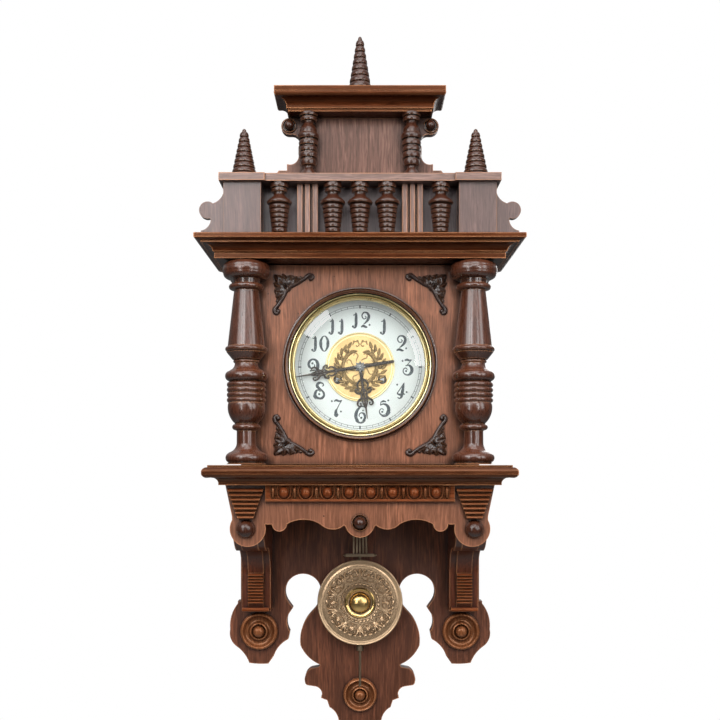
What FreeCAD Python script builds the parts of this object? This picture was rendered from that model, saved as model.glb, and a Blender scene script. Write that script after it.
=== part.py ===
import FreeCAD, Part
import math
import os
import Sketcher

# Spring-driven wall clock with an open pendulum.
# Millimetres. +X right, +Z up, front of the clock towards -Y.
# The origin is the hanger hole on the wall plane; depth is measured forward of the wall.

doc = FreeCAD.newDocument("wall_clock")
sheet = doc.addObject("Spreadsheet::Sheet", "dims")

SIZES = (
    ("hanger_height", 240, "hanger hole above the shelf top"),
    ("hanger_radius", 6, "round entry of the keyhole"),
    ("hanger_plate_width", 44, "keyhole plate across"),
    ("hanger_plate_height", 34, "keyhole plate up and down"),
    ("hanger_plate_thick", 2, "keyhole plate thickness"),
    ("hanger_pocket_depth", 9, "room for the screw head behind the plate"),
    ("back_thick", 16, "back board thickness"),
    ("back_half", 156, "back board half width"),
    ("case_height", 238, "shelf top to cornice underside"),
    ("case_half", 140, "case half width over the sides"),
    ("case_depth", 96, "case sides front to back"),
    ("side_thick", 12, "case side thickness"),
    ("shelf_thick", 23, "shelf thickness"),
    ("shelf_half", 180, "shelf half width"),
    ("shelf_front", 184, "shelf nose forward of the wall"),
    ("shelf_mould", 17, "depth of the shelf moulding"),
    ("slot_half", 36, "pendulum slot half width"),
    ("slot_depth", 38, "pendulum slot front to back"),
    ("cornice_thick", 25, "cornice thickness"),
    ("cornice_half", 188, "cornice half width"),
    ("cornice_front", 188, "cornice nose forward of the wall"),
    ("cornice_mould", 21, "depth of the cornice moulding"),
    ("apron_front", 152, "apron face forward of the wall"),
    ("apron_thick", 14, "apron thickness"),
    ("apron_half", 157, "apron half width at the top"),
    ("apron_drop", 96, "lowest point of the apron below the shelf top"),
    ("egg_strip_half", 110, "egg moulding half width"),
    ("egg_strip_height", 20, "egg moulding height"),
    ("egg_strip_thick", 5, "egg moulding backing thickness"),
    ("egg_radius", 5.8, "egg half width"),
    ("egg_count", 8, "eggs in the moulding"),
    ("reed_block_top", 21.5, "reeded block half width at the top"),
    ("reed_block_bottom", 8.5, "reeded block half width at the bottom"),
    ("reed_block_height", 36, "reeded block height"),
    ("reed_block_thick", 8, "reeded block thickness"),
    ("reed_count", 6, "reeds on a block"),
    ("bracket_x", 133, "bracket centre from the middle"),
    ("bracket_width", 37, "bracket across"),
    ("bracket_strap", 20, "raised strap across"),
    ("bracket_drop", 187, "bracket foot below the shelf top"),
    ("bracket_foot", 44, "bracket foot forward of the wall"),
    ("boss_radius", 11, "turned boss radius"),
    ("boss_height", 12, "turned boss height"),
    ("small_boss_radius", 8.5, "attic boss radius"),
    ("small_boss_height", 10, "attic boss height"),
    ("rosette_radius", 24.5, "rosette radius"),
    ("rosette_height", 13, "rosette height"),
    ("rosette_x", 132, "foot rosette from the middle"),
    ("rosette_drop", 217, "foot rosette below the shelf top"),
    ("pendant_drop", 300, "middle rosette below the shelf top"),
    ("gallery_height", 69, "cornice top to rail underside"),
    ("gallery_back", 117, "gallery panel forward of the wall"),
    ("gallery_thick", 8, "gallery panel thickness"),
    ("tower_half", 22, "tower half width"),
    ("ear_room", 28, "cornice end beyond the tower"),
    ("tower_x", "=cornice_half - ear_room - tower_half", "tower centre from the middle"),
    ("gallery_half", "=tower_x - tower_half", "gallery panel half width"),
    ("rail_thick", 9, "rail thickness"),
    ("rail_back", 88, "rail back edge forward of the wall"),
    ("rail_front", 151, "rail front edge forward of the wall"),
    ("ear_setback", 5, "scrolled ears behind the rail front"),
    ("cap_overhang", 4.8, "tower cap beyond the tower"),
    ("baluster_radius", "=gallery_half * 0.1267", "baluster shoulder radius"),
    ("baluster_gap", "=gallery_half * 0.276", "spacing of the middle balusters"),
    ("baluster_outer", "=gallery_half * 0.819", "outer balusters from the middle"),
    ("pilaster_x", "=gallery_half * 0.5345", "pilaster centre from the middle"),
    ("pilaster_width", "=gallery_half * 0.212", "pilaster across"),
    ("pilaster_thick", 13, "pilaster thickness"),
    ("spire_radius", 15.5, "tower spire radius"),
    ("spire_height", 60, "tower spire height"),
    ("spire_rings", 8, "rings on a spire"),
    ("attic_height", 82, "rail top to attic cornice underside"),
    ("attic_half", 102, "attic panel half width at the foot"),
    ("attic_thick", 10, "attic panel thickness"),
    ("attic_column_x", 62, "attic column from the middle"),
    ("attic_column_radius", 13, "attic column radius"),
    ("attic_cornice_thick", 25, "attic cornice thickness"),
    ("attic_cornice_half", 102, "attic cornice half width"),
    ("attic_cornice_front", 140, "attic cornice nose forward of the wall"),
    ("attic_cornice_mould", 16, "depth of the attic cornice moulding"),
    ("top_spire_radius", 14.6, "top spire radius"),
    ("top_spire_height", 72, "top spire height"),
    ("door_gap", 0.4, "door to case clearance"),
    ("door_play", 1, "door to shelf and cornice clearance"),
    ("door_thick", 20, "door thickness"),
    ("dial_height", "=case_height / 2", "dial centre above the shelf top"),
    ("ring_radius", 91.5, "turned ring outer radius"),
    ("ring_width", 6.5, "turned ring across its face"),
    ("ring_thick", 8, "turned ring thickness"),
    ("opening_radius", "=ring_radius - ring_width", "door opening radius"),
    ("bezel_width", 7, "brass bezel across its face"),
    ("bezel_inner", "=opening_radius - bezel_width", "brass bezel sight radius"),
    ("bezel_lip", 5.5, "brass bezel front lip"),
    ("bezel_wall", 2.8, "brass bezel wall around the glass"),
    ("glass_thick", 4, "glass thickness"),
    ("glass_bevel", 12, "width of the glass bevel"),
    ("column_x", 133, "column axis from the middle"),
    ("column_axis", 14, "column axis forward of the door face"),
    ("column_radius", 27.7, "column capital radius"),
    ("carving_leg", 44, "corner carving along each edge"),
    ("carving_x", 103, "corner carving outer corner from the middle"),
    ("carving_margin", 11, "corner carving below the case top"),
    ("carving_z", "=case_height / 2 - carving_margin", "corner carving outer corner from the dial centre"),
    ("carving_thick", 3.5, "corner carving thickness"),
    ("hinge_offset", 3.2, "hinge pin outside the case side"),
    ("hinge_height", 36, "hinge height"),
    ("hinge_inset", 24, "hinge from the door ends"),
    ("hinge_leaf", 20, "hinge leaf width"),
    ("hinge_leaf_thick", 1.2, "hinge leaf thickness"),
    ("knuckle_radius", 2.6, "hinge knuckle radius"),
    ("pin_radius", 1.4, "hinge pin radius"),
    ("running_fit", 0.06, "radial play of a turning fit"),
    ("plate_half", 56, "movement plate half width"),
    ("plate_below", 48, "movement plate below the dial centre"),
    ("plate_above", 64, "movement plate above the dial centre"),
    ("plate_thick", 2, "movement plate thickness"),
    ("plate_back", 50, "rear plate forward of the wall"),
    ("plate_space", 38, "space between the plates"),
    ("pillar_radius", 4, "plate pillar radius"),
    ("pillar_inset", 8, "plate pillar from the plate edges"),
    ("seat_width", 10, "movement bracket across"),
    ("dial_back", 103, "dial back forward of the wall"),
    ("dial_thick", 2, "dial thickness"),
    ("dial_radius", 84, "dial radius"),
    ("dial_hole", 5, "dial centre hole radius"),
    ("dial_foot_radius", 2.5, "dial foot radius"),
    ("dial_foot_reach", 40, "dial foot from the dial centre"),
    ("centre_radius", 42, "gilt dial centre radius"),
    ("centre_thick", 0.8, "gilt dial centre thickness"),
    ("wind_x", 27, "winding arbor from the middle"),
    ("wind_drop", 15.3, "winding arbor below the dial centre"),
    ("wind_hole", 4.6, "winding hole radius"),
    ("wind_arbor", 3, "winding arbor radius"),
    ("wind_square", 4.2, "winding square across"),
    ("wind_end", 106, "winding square end forward of the wall"),
    ("pivot_radius", 0.8, "arbor pivot radius"),
    ("arbor_radius", 1.2, "arbor radius"),
    ("barrel_radius", 22, "spring barrel radius"),
    ("barrel_length", 25, "spring barrel length"),
    ("great_teeth", 72, "going great wheel teeth"),
    ("centre_leaves", 10, "centre pinion leaves"),
    ("centre_teeth", 80, "centre wheel teeth"),
    ("third_leaves", 8, "third pinion leaves"),
    ("third_teeth", 81, "third wheel teeth"),
    ("escape_leaves", 8, "escape pinion leaves"),
    ("escape_teeth", 30, "escape wheel teeth"),
    ("escape_radius", 13, "escape wheel radius"),
    ("third_module", 0.5, "centre to third tooth module"),
    ("escape_module", 0.42, "third to escape tooth module"),
    ("third_x", 12, "third arbor from the middle"),
    ("strike_teeth", 64, "strike great wheel teeth"),
    ("strike_leaves", 10, "pin wheel pinion leaves"),
    ("strike_module", 0.75, "strike tooth module"),
    ("pin_wheel_side", 7.2, "pin wheel arbor outside the strike barrel"),
    ("pin_wheel_radius", 13.5, "pin wheel radius"),
    ("pin_count", 8, "lifting pins"),
    ("cannon_leaves", 12, "cannon pinion leaves"),
    ("minute_teeth", 36, "minute wheel teeth"),
    ("minute_leaves", 10, "minute pinion leaves"),
    ("hour_teeth", 40, "hour wheel teeth"),
    ("motion_module", 0.5, "cannon pinion tooth module"),
    ("cannon_radius", 2.4, "cannon pipe radius"),
    ("hour_pipe", 1.2, "hour pipe wall"),
    ("minute_hand_length", 78, "minute hand length"),
    ("minute_hand_tail", 41, "minute hand tail"),
    ("hour_hand_length", 64, "hour hand length"),
    ("hand_thick", 1, "hand thickness"),
    ("suspension_height", 54, "pendulum pivot above the dial centre"),
    ("pendulum_depth", 34, "pendulum forward of the wall"),
    ("pendulum_length", 350, "pendulum pivot to bob centre"),
    ("rod_radius", 1.6, "pendulum rod radius"),
    ("rod_gap", 4, "pendulum rod spacing"),
    ("rod_count", 5, "pendulum rods"),
    ("bob_radius", 55, "bob radius"),
    ("bob_thick", 14, "bob thickness"),
    ("crossbar_width", 36.7, "lower crossbar across"),
    ("crossbar_height", 3.5, "crossbar height"),
    ("crossbar_above", 59, "lower crossbar above the bob centre"),
    ("tail_below", 108, "pendulum tip below the bob centre"),
    ("nut_radius", 5, "rating nut radius"),
    ("nut_height", 6, "rating nut height"),
    ("spring_length", 26, "suspension spring length"),
    ("spring_width", 5, "suspension spring width"),
    ("spring_thick", 0.5, "suspension spring thickness"),
    ("gong_x", -70, "gong centre from the middle"),
    ("gong_drop", 64, "gong centre below the dial centre"),
    ("gong_wire", 1.4, "gong wire radius"),
    ("gong_pitch", 6.4, "gong coil spacing"),
    ("gong_turns", 4, "gong coil turns"),
    ("gong_block", 16, "gong post across"),
    ("gong_stand", 11, "gong wire centre from the back board"),
    ("hammer_x", -46, "hammer arbor from the middle"),
    ("hammer_up", 40, "hammer arbor above the dial centre"),
    ("hammer_length", 62, "hammer arm length"),
    ("hammer_wire", 1.5, "hammer arm radius"),
    ("hammer_head", 5, "hammer head radius"),
    ("hammer_head_length", 14, "hammer head length"),
    ("hammer_lean", 255, "direction of the hammer arm, in degrees from the right"),
    ("wheel_thick", 1.5, "wheel thickness"),
    ("pallet_gap", 1.9, "pallets clear of the escape wheel"),
    ("crutch_drop", 46, "crutch length below the swing axis"),
    ("crosshead_height", 24, "top bar of the pendulum, height"),
    ("seat_height", 12, "movement bracket arm height"),
    ("seat_plate", 3, "movement bracket foot thickness"),
    ("seat_foot", 30, "movement bracket foot height"),
)


class Size:
    """A length with the expression that gives it from the named sizes."""

    def __init__(self, value, text):
        self.value = float(value)
        self.text = text

    def __add__(self, other):
        return Size(self.value + number(other), f"({self.text} + {text(other)})")

    def __radd__(self, other):
        return self + other

    def __sub__(self, other):
        return Size(self.value - number(other), f"({self.text} - {text(other)})")

    def __rsub__(self, other):
        return -self + other

    def __mul__(self, other):
        return Size(self.value * number(other), f"({self.text} * {text(other)})")

    def __rmul__(self, other):
        return self * other

    def __truediv__(self, other):
        return Size(self.value / number(other), f"({self.text} / {text(other)})")

    def __neg__(self):
        return Size(-self.value, f"(0 - {self.text})")


def number(size):
    return size.value if isinstance(size, Size) else float(size)


def text(size):
    return size.text if isinstance(size, Size) else f"({float(size):.6g})"


def root(size):
    return Size(math.sqrt(size.value), f"sqrt({size.text})")


def leg(slope, side):
    """The other short side of a right triangle."""
    return root(slope * slope - side * side)


class Named:
    pass


d = Named()
for row, (name, value, note) in enumerate(SIZES, start=1):
    sheet.set(f"A{row}", note)
    sheet.set(f"B{row}", str(value))
    sheet.setAlias(f"B{row}", name)
doc.recompute()
for name, value, note in SIZES:
    setattr(d, name, Size(sheet.get(name), f"dims.{name}"))

parts = []


def keep(shape_object, label):
    shape_object.Label = label
    parts.append(shape_object)
    return shape_object


def bind(item, path, size):
    if isinstance(size, Size):
        item.setExpression(path, size.text)
    elif size:
        item.setExpression(path, text(size))


def place(item, x=0, depth=0, z=0):
    bind(item, "Placement.Base.x", x)
    bind(item, "Placement.Base.y", depth * -1)
    bind(item, "Placement.Base.z", z)
    return item


# Outlines: each corner is (across, up, bulge of the stretch to the next corner).
# Corners run counter-clockwise; a positive bulge swells outwards, as a share of the stretch.

def corner(entry):
    x, y, *rest = entry
    return x, y, (rest[0] if rest else 0)


def round_share(degrees):
    """Bulge of a stretch that is an arc of so many degrees."""
    return math.tan(math.radians(degrees) / 4) / 2


def mirrored(half):
    """Whole outline from its right half, given from the bottom to the top."""
    half = [corner(entry) for entry in half]
    whole = list(half)
    for index in range(len(half) - 1, -1, -1):
        x, y, bulge = half[index]
        if isinstance(x, Size) or x:
            whole.append((x * -1, y, half[index - 1][2] if index else 0))
        elif index:
            whole[-1] = (x, y, half[index - 1][2])
    return whole


def shifted(outline, x=0, y=0):
    return [(x + a, y + b, bulge) for a, b, bulge in map(corner, outline)]


def fitted(outline, radius, height):
    """Turning outline stretched to a radius and a height."""
    spots = [corner(entry) for entry in outline]
    swells = [(a[0] + b[0]) / 2 + a[2] * (b[1] - a[1]) for a, b in zip(spots, spots[1:])]
    widest = max([r for r, h, bulge in spots] + swells)
    tallest = max(h for r, h, bulge in spots)
    return [(radius * (r / widest), height * (h / tallest), bulge) for r, h, bulge in spots]


def domed(outline):
    """A round stretch that ends on the axis becomes part of a sphere."""
    outline = [corner(entry) for entry in outline]
    for index in range(1, len(outline)):
        r, h, bulge = outline[index - 1]
        if bulge and abs(number(outline[index][0])) < 1e-9:
            rise = abs(number(outline[index][1]) - number(h))
            chord = math.hypot(number(r), rise)
            sphere = chord * chord / (2 * rise)
            share = (sphere - math.sqrt(sphere * sphere - chord * chord / 4)) / chord
            outline[index - 1] = (r, h, math.copysign(share, bulge))
    return outline


def draw(sketch, loop):
    loop = [corner(entry) for entry in loop]
    spots = [FreeCAD.Vector(number(x), number(y), 0) for x, y, bulge in loop]
    edges = []
    for index, (x, y, bulge) in enumerate(loop):
        start, end = spots[index], spots[(index + 1) % len(loop)]
        if bulge:
            chord = end - start
            crown = (start + end) * 0.5 + FreeCAD.Vector(chord.y, -chord.x, 0) * bulge
            edges.append(Part.Arc(start, crown, end))
        else:
            edges.append(Part.LineSegment(start, end))
    ids = sketch.addGeometry(edges, False)
    ends = []
    for index, edge in enumerate(ids):
        first = 1 if (sketch.getPoint(edge, 1) - spots[index]).Length < 1e-6 else 2
        ends.append((edge, first, 3 - first))
    rules = []
    bound = []
    for index, (edge, first, last) in enumerate(ends):
        follower = ends[(index + 1) % len(ends)]
        rules.append(Sketcher.Constraint("Coincident", edge, last, follower[0], follower[1]))
        if loop[index][2] and min(abs(spots[index].x), abs(spots[(index + 1) % len(loop)].x)) < 1e-9:
            rules.append(Sketcher.Constraint("PointOnObject", edge, 3, -2))
        for kind, axis, size in (("DistanceX", -2, loop[index][0]), ("DistanceY", -1, loop[index][1])):
            if abs(number(size)) < 1e-9:
                rules.append(Sketcher.Constraint("PointOnObject", edge, first, axis))
            else:
                bound.append((len(rules), size))
                rules.append(Sketcher.Constraint(kind, -1, 1, edge, first, number(size)))
    begin = sketch.ConstraintCount
    sketch.addConstraint(rules)
    for index, size in bound:
        if isinstance(size, Size):
            sketch.setExpression(f"Constraints[{begin + index}]", size.text)


def draw_circle(sketch, x, y, radius):
    edge = sketch.addGeometry(Part.Circle(FreeCAD.Vector(number(x), number(y), 0), FreeCAD.Vector(0, 0, 1),
                                          number(radius)), False)
    for kind, axis, size in (("DistanceX", -2, x), ("DistanceY", -1, y)):
        if abs(number(size)) < 1e-9:
            sketch.addConstraint(Sketcher.Constraint("PointOnObject", edge, 3, axis))
        else:
            rule = sketch.addConstraint(Sketcher.Constraint(kind, -1, 1, edge, 3, number(size)))
            sketch.setExpression(f"Constraints[{rule}]", text(size))
    rule = sketch.addConstraint(Sketcher.Constraint("Radius", edge, number(radius)))
    sketch.setExpression(f"Constraints[{rule}]", text(radius))


def sketch_on(body, role, loops, circles=(), offset=0):
    plane = next(item for item in body.Origin.OriginFeatures if item.Role == role)
    sketch = body.newObject("Sketcher::SketchObject", "Sketch")
    sketch.AttachmentSupport = [(plane, "")]
    sketch.MapMode = "FlatFace"
    bind(sketch, "AttachmentOffset.Base.z", offset)
    for loop in loops:
        draw(sketch, loop)
    for circle in circles:
        draw_circle(sketch, *circle)
    return sketch


def add(body, kind, sketch, length=None):
    feature = body.newObject("PartDesign::" + kind, kind)
    feature.Profile = sketch
    if length is None:
        feature.ReferenceAxis = (sketch, ["V_Axis"])
    else:
        bind(feature, "Length", length)
    body.Tip = feature
    sketch.Visibility = False
    return feature


def new_body():
    return doc.addObject("PartDesign::Body", "Body")


def board(outline, back, thick, circles=(), loops=()):
    """A board cut to an outline seen from the front."""
    body = new_body()
    add(body, "Pad", sketch_on(body, "XZ_Plane", [outline, *loops], circles, back), thick)
    return body


def cut_board(body, outline, back, thick, circles=()):
    """A recess of an outline seen from the front, from one depth forward by a thickness."""
    profile = sketch_on(body, "XZ_Plane", [outline] if outline else [], circles, back)
    pocket = add(body, "Pocket", profile, thick)
    pocket.Reversed = True
    return body


def turned(outline, upright=True):
    """A turned piece: outline of radius and height, about a vertical or a front-facing axis."""
    body = new_body()
    if number(outline[0][0]) > 0:
        outline = [(0, outline[0][1], 0), *outline]
    if number(outline[-1][0]) > 0:
        outline = [*outline, (0, outline[-1][1], 0)]
    outline = domed(outline)
    if upright:
        add(body, "Revolution", sketch_on(body, "XZ_Plane", [outline]))
    else:
        forward = [(r, h * -1, -bulge) for r, h, bulge in outline]
        add(body, "Revolution", sketch_on(body, "XY_Plane", [forward]))
    return body


def ring(outline):
    """A turned ring about a front-facing axis: closed outline of radius and depth."""
    body = new_body()
    forward = [(r, h * -1, -bulge) for r, h, bulge in domed(outline)]
    add(body, "Revolution", sketch_on(body, "XY_Plane", [forward]))
    return body


def rod(x, depth, z, radius, length, upright=True):
    item = doc.addObject("Part::Cylinder", "Cylinder")
    bind(item, "Radius", radius)
    bind(item, "Height", length)
    if not upright:
        item.Placement.Rotation = FreeCAD.Rotation(FreeCAD.Vector(1, 0, 0), 90)
    return place(item, x, depth, z)


def block(x, wide, depth, deep, z, tall):
    """A box from its left edge, rear face and underside."""
    item = doc.addObject("Part::Box", "Box")
    bind(item, "Length", wide)
    bind(item, "Width", deep)
    bind(item, "Height", tall)
    return place(item, x, depth + deep, z)


def joined(items):
    fusion = doc.addObject("Part::MultiFuse", "Fusion")
    fusion.Shapes = items
    return fusion


def without(base, *tools):
    for tool in tools:
        cut = doc.addObject("Part::Cut", "Cut")
        cut.Base = base
        cut.Tool = tool
        base = cut
    return base


def group(items):
    compound = doc.addObject("Part::Compound", "Group")
    compound.Links = items
    return compound


def opposite(item):
    """The same piece on the other side of the clock."""
    mirror = doc.addObject("Part::Mirroring", "Mirror")
    mirror.Source = item
    mirror.Normal = FreeCAD.Vector(1, 0, 0)
    return mirror


def crossed(front_outline, side_outline, back, deep, half):
    """The solid that has one outline from the front and another from the side."""
    body = board(front_outline, back, deep)
    other = new_body()
    across = [(u * -1, z, -bulge) for u, z, bulge in map(corner, side_outline)]
    add(other, "Pad", sketch_on(other, "YZ_Plane", [across], offset=half * -1), half * 2)
    common = doc.addObject("Part::Common", "Common")
    common.Base = body
    common.Tool = other
    return common


def moulded(edge, half, front, bottom, height, depth, back):
    """A board whose front and ends carry the same moulding."""
    deepest = -min(entry[0] for entry in edge)
    tallest = max(entry[1] for entry in edge)
    rise = []
    for step, up, bulge in map(corner, edge):
        rise.append((depth * (step / deepest), bottom + height * (up / tallest), bulge))
    ends = mirrored([(half + p, z, bulge) for p, z, bulge in rise])
    side = [(back, rise[0][1], 0)]
    side += [(front + p, z, bulge) for p, z, bulge in rise]
    side.append((back, rise[-1][1], 0))
    return crossed(ends, side, back, front - back, half)


# Heights above the hanger and depths forward of the wall.

shelf_top = -d.hanger_height
shelf_under = shelf_top - d.shelf_thick
cornice_under = shelf_top + d.case_height
cornice_top = cornice_under + d.cornice_thick
rail_under = cornice_top + d.gallery_height
rail_top = rail_under + d.rail_thick
attic_top = rail_top + d.attic_height
dial_z = shelf_top + d.dial_height
door_back = d.back_thick + d.case_depth + d.door_gap
door_face = door_back + d.door_thick
gallery_face = d.gallery_back + d.gallery_thick
attic_back = d.rail_back + 4
attic_face = attic_back + d.attic_thick

# Back board with scrolled feet and a pendant, and the keyhole plate let into its back.

FOOT_EDGE = (
    (0, -342, 0.08), (28, -334, -0.12), (40, -317), (43, -308), (51, -305, -0.25), (58, -290),
    (67.5, -288.5, 0.2), (72, -284, 0.1), (71.5, -276, 0.12), (63.5, -266.3), (54, -264.5),
    (52, -261.5, 0.1), (78, -236, 0.12), (62, -191, -0.1), (51, -164, -0.45), (98, -163, -0.1), (93, -180),
    (88, -187), (94, -196, -0.12), (92, -218), (94, -228, -0.1), (113, -250), (120, -260, 0.03),
    (145, -259, -0.08), (162, -237, 0.15), (170, -215, 0.1), (160, -181), (160, -178),
)
FOOT_WIDTH = 156.0
back_edge = []
for x, z, bulge in map(corner, FOOT_EDGE):
    across = d.back_half + (x - FOOT_WIDTH) if x else 0
    back_edge.append((across, shelf_top + z, bulge))
back_edge += [(d.back_half, back_edge[-1][1], 0), (d.back_half, cornice_top, 0)]
back_board = board(mirrored(back_edge), 0, d.back_thick)
plate_foot = d.hanger_plate_height * -0.4
plate_head = plate_foot + d.hanger_plate_height
plate_edge = mirrored([(d.hanger_plate_width / 2, plate_foot), (d.hanger_plate_width / 2, plate_head)])
cut_board(back_board, plate_edge, 0, d.hanger_plate_thick)
pocket_half = d.hanger_radius + 3
pocket_edge = mirrored([(pocket_half, d.hanger_radius * -1.3), (pocket_half, d.hanger_radius * 2.8)])
cut_board(back_board, pocket_edge, d.hanger_plate_thick, d.hanger_pocket_depth)
keep(back_board, "back_board")

SLOT_SHARE = 0.45
slot_half = d.hanger_radius * SLOT_SHARE
slot_foot = leg(d.hanger_radius, slot_half)
slot_top = d.hanger_radius * 2
quarter = round_share(90)
upper = round_share(90 - math.degrees(math.asin(SLOT_SHARE)))
keyhole = mirrored([(0, d.hanger_radius * -1, quarter), (d.hanger_radius, 0, upper), (slot_half, slot_foot),
                    (slot_half, slot_top, quarter), (0, slot_top + slot_half)])
keep(board(plate_edge, 0, d.hanger_plate_thick, loops=[keyhole]), "hanger_plate")

# Case sides, shelf and cornice.

side = block(d.case_half - d.side_thick, d.side_thick, d.back_thick, d.case_depth, shelf_top, d.case_height)
keep(side, "case_side_right")
keep(opposite(side), "case_side_left")

SHELF_EDGE = ((-17, 0), (-17, 3, -0.22), (-7, 8.5), (-4.5, 8.5, 0.4), (-4.5, 20.5), (-6, 20.5), (-6, 23))
shelf = moulded(SHELF_EDGE, d.shelf_half, d.shelf_front, shelf_under, d.shelf_thick, d.shelf_mould, 0)
back_room = block(d.back_half * -1, d.back_half * 2, 0, d.back_thick, shelf_under, d.shelf_thick)
slot = block(d.slot_half * -1, d.slot_half * 2, d.back_thick, d.slot_depth, shelf_under, d.shelf_thick)
keep(without(shelf, back_room, slot), "shelf")

CORNICE_EDGE = ((-20.5, 0), (-20.5, 6), (-21, 6.5), (-19, 7.5, -0.2), (-9, 15.5), (-7, 15.5), (-7, 17.5),
                (-2, 18.5), (-1, 19, 0.3), (-1, 25))
cornice = moulded(CORNICE_EDGE, d.cornice_half, d.cornice_front, cornice_under, d.cornice_thick,
                  d.cornice_mould, 0)
back_room = block(d.back_half * -1, d.back_half * 2, 0, d.back_thick, cornice_under, d.cornice_thick)
keep(without(cornice, back_room), "cornice")

# Apron under the shelf, with its egg moulding, reeded blocks and turned bosses.

APRON_EDGE = (
    (0, -61.4, 0.166), (16.7, -49), (18.5, -47, 0.2), (46, -46, -0.14), (85.5, -46, 0.5),
    (102.5, -46), (110.8, -46, 0.032), (110.1, -51.3, 0.5), (151.9, -51.3, 0.072), (148.6, -40), (157, 0),
)
APRON_WIDTH = 157.0
drop = d.apron_drop / 96.0
apron_edge = []
for x, z, bulge in map(corner, APRON_EDGE):
    across = d.apron_half + (x - APRON_WIDTH) if x else 0
    apron_edge.append((across, shelf_under + drop * z, bulge))
apron_back = d.apron_front - d.apron_thick
keep(board(mirrored(apron_edge), apron_back, d.apron_thick), "apron_board")

strip_foot = shelf_under - d.egg_strip_height
egg_face = d.apron_front + d.egg_strip_thick
pieces = [block(d.egg_strip_half * -1, d.egg_strip_half * 2, d.apron_front, d.egg_strip_thick, strip_foot,
                d.egg_strip_height)]
bead_line = rod(0, egg_face, strip_foot + 2, 2, d.egg_strip_half * 2)
bead_line.Placement.Rotation = FreeCAD.Rotation(FreeCAD.Vector(0, 1, 0), 90)
pieces.append(place(bead_line, d.egg_strip_half * -1, egg_face, strip_foot + 2))
eggs = int(number(d.egg_count))
egg_gap = d.egg_strip_half * 2 / (d.egg_count + 0.73)
for index in range(eggs):
    egg = doc.addObject("Part::Ellipsoid", "Egg")
    bind(egg, "Radius1", d.egg_radius * 1.25)
    bind(egg, "Radius2", d.egg_radius)
    bind(egg, "Radius3", d.egg_strip_thick)
    egg_x = egg_gap * (index - (eggs - 1) / 2)
    pieces.append(place(egg, egg_x, egg_face, strip_foot + d.egg_strip_height * 0.56))
keep(joined(pieces), "egg_moulding")

reeds = int(number(d.reed_count))
reed_top = shelf_under - 4
reed_foot = reed_top - d.reed_block_height
reed_edge = mirrored([(d.reed_block_bottom, reed_foot), (d.reed_block_top, reed_top)])
reed_face = d.apron_front + d.reed_block_thick * 0.75
reed_side = [(d.apron_front, reed_foot, 0)]
reed_side += [(reed_face, reed_foot + d.reed_block_height * (index / reeds), 0.3) for index in range(reeds)]
reed_side += [(reed_face, reed_top, 0), (d.apron_front, reed_top, 0)]
reed_block = crossed(reed_edge, reed_side, d.apron_front, d.reed_block_thick * 2, d.reed_block_top)
reed_right = place(reed_block, d.bracket_x)
keep(group([reed_right, opposite(reed_right)]), "reeded_blocks")

BOSS = ((11, 0), (11, 1.6, 0.25), (10, 2.6), (9.4, 2.6, 0.32), (0, 12))
ROSETTE = ((24.5, 0), (24.5, 5, 0.35), (20.5, 8, -0.12), (13.5, 6), (13, 4, -0.2), (8.7, 4.5, 0.22),
           (0, 13))
lobe_z = reed_foot - d.boss_radius - 0.5
bosses = []
for x, face, z, radius, height in (
        (0, d.apron_front, shelf_under - 44 * drop, d.boss_radius * 0.92, d.boss_height),
        (d.bracket_x, d.apron_front, lobe_z, d.boss_radius, d.boss_height),
        (d.bracket_x * -1, d.apron_front, lobe_z, d.boss_radius, d.boss_height)):
    bosses.append(place(turned(fitted(BOSS, radius, height), upright=False), x, face, z))
rosettes = []
for x, below, share in ((d.rosette_x, d.rosette_drop, 1.0), (d.rosette_x * -1, d.rosette_drop, 1.0),
                        (0, d.pendant_drop, 0.9)):
    rosette = turned(fitted(ROSETTE, d.rosette_radius * share, d.rosette_height), upright=False)
    rosettes.append(place(rosette, x, d.back_thick, shelf_top - below))
keep(group(rosettes), "rosettes")

# Scroll brackets between the back board, the shelf and the apron.

foot_z = shelf_top - d.bracket_drop
foot_u = d.bracket_foot
fall = d.bracket_drop - d.shelf_thick


def bracket_side(proud, reeded):
    """Side outline of the bracket; the strap stands proud of it and has cross reeds low down."""
    low = foot_z + fall * 0.06
    high = foot_z + fall * 0.3
    outline = [(d.back_thick, foot_z, 0), (foot_u + proud * 0.3, foot_z, 0)]
    if reeded:
        count = 6
        outline += [(foot_u + proud, low + (high - low) * (index / count), 0.22) for index in range(count)]
    else:
        outline.append((foot_u + proud, low, 0))
    front = apron_back if reeded else apron_back - 2
    belly = (apron_back * 0.68 + proud, foot_z + fall * 0.5)
    crown = (front, foot_z + fall * 0.8)
    slope = math.degrees(math.atan2(number(crown[1] - belly[1]), number(crown[0] - belly[0])))
    outline += [(foot_u + proud, high, -0.24), (*belly, round_share(2 * (90 - slope))), (*crown, 0)]
    outline.append((front, shelf_under, 0))
    outline.append((d.back_thick, shelf_under, 0))
    return [(u * -1, z, -bulge) for u, z, bulge in outline]


bracket = new_body()
for width, proud, reeded in ((d.bracket_width, 0, False), (d.bracket_strap, 3.5, True)):
    profile = sketch_on(bracket, "YZ_Plane", [bracket_side(proud, reeded)], offset=d.bracket_x - width / 2)
    add(bracket, "Pad", profile, width)
keep(bracket, "bracket_right")
keep(opposite(bracket), "bracket_left")

# Gallery on the cornice: panel, towers, ears, pilasters, balusters, rail and spires.

panel = block(d.gallery_half * -1, d.gallery_half * 2, d.gallery_back, d.gallery_thick, cornice_top,
              d.gallery_height)
keep(panel, "gallery_panel")
tower_inner = d.tower_x - d.tower_half
tower_back = gallery_face + d.pilaster_thick * 0.7 + d.tower_half * -1.4
tower_deep = d.rail_front - 3 - tower_back
tower = block(tower_inner, d.tower_half * 2, tower_back, tower_deep, cornice_top, d.gallery_height)

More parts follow.
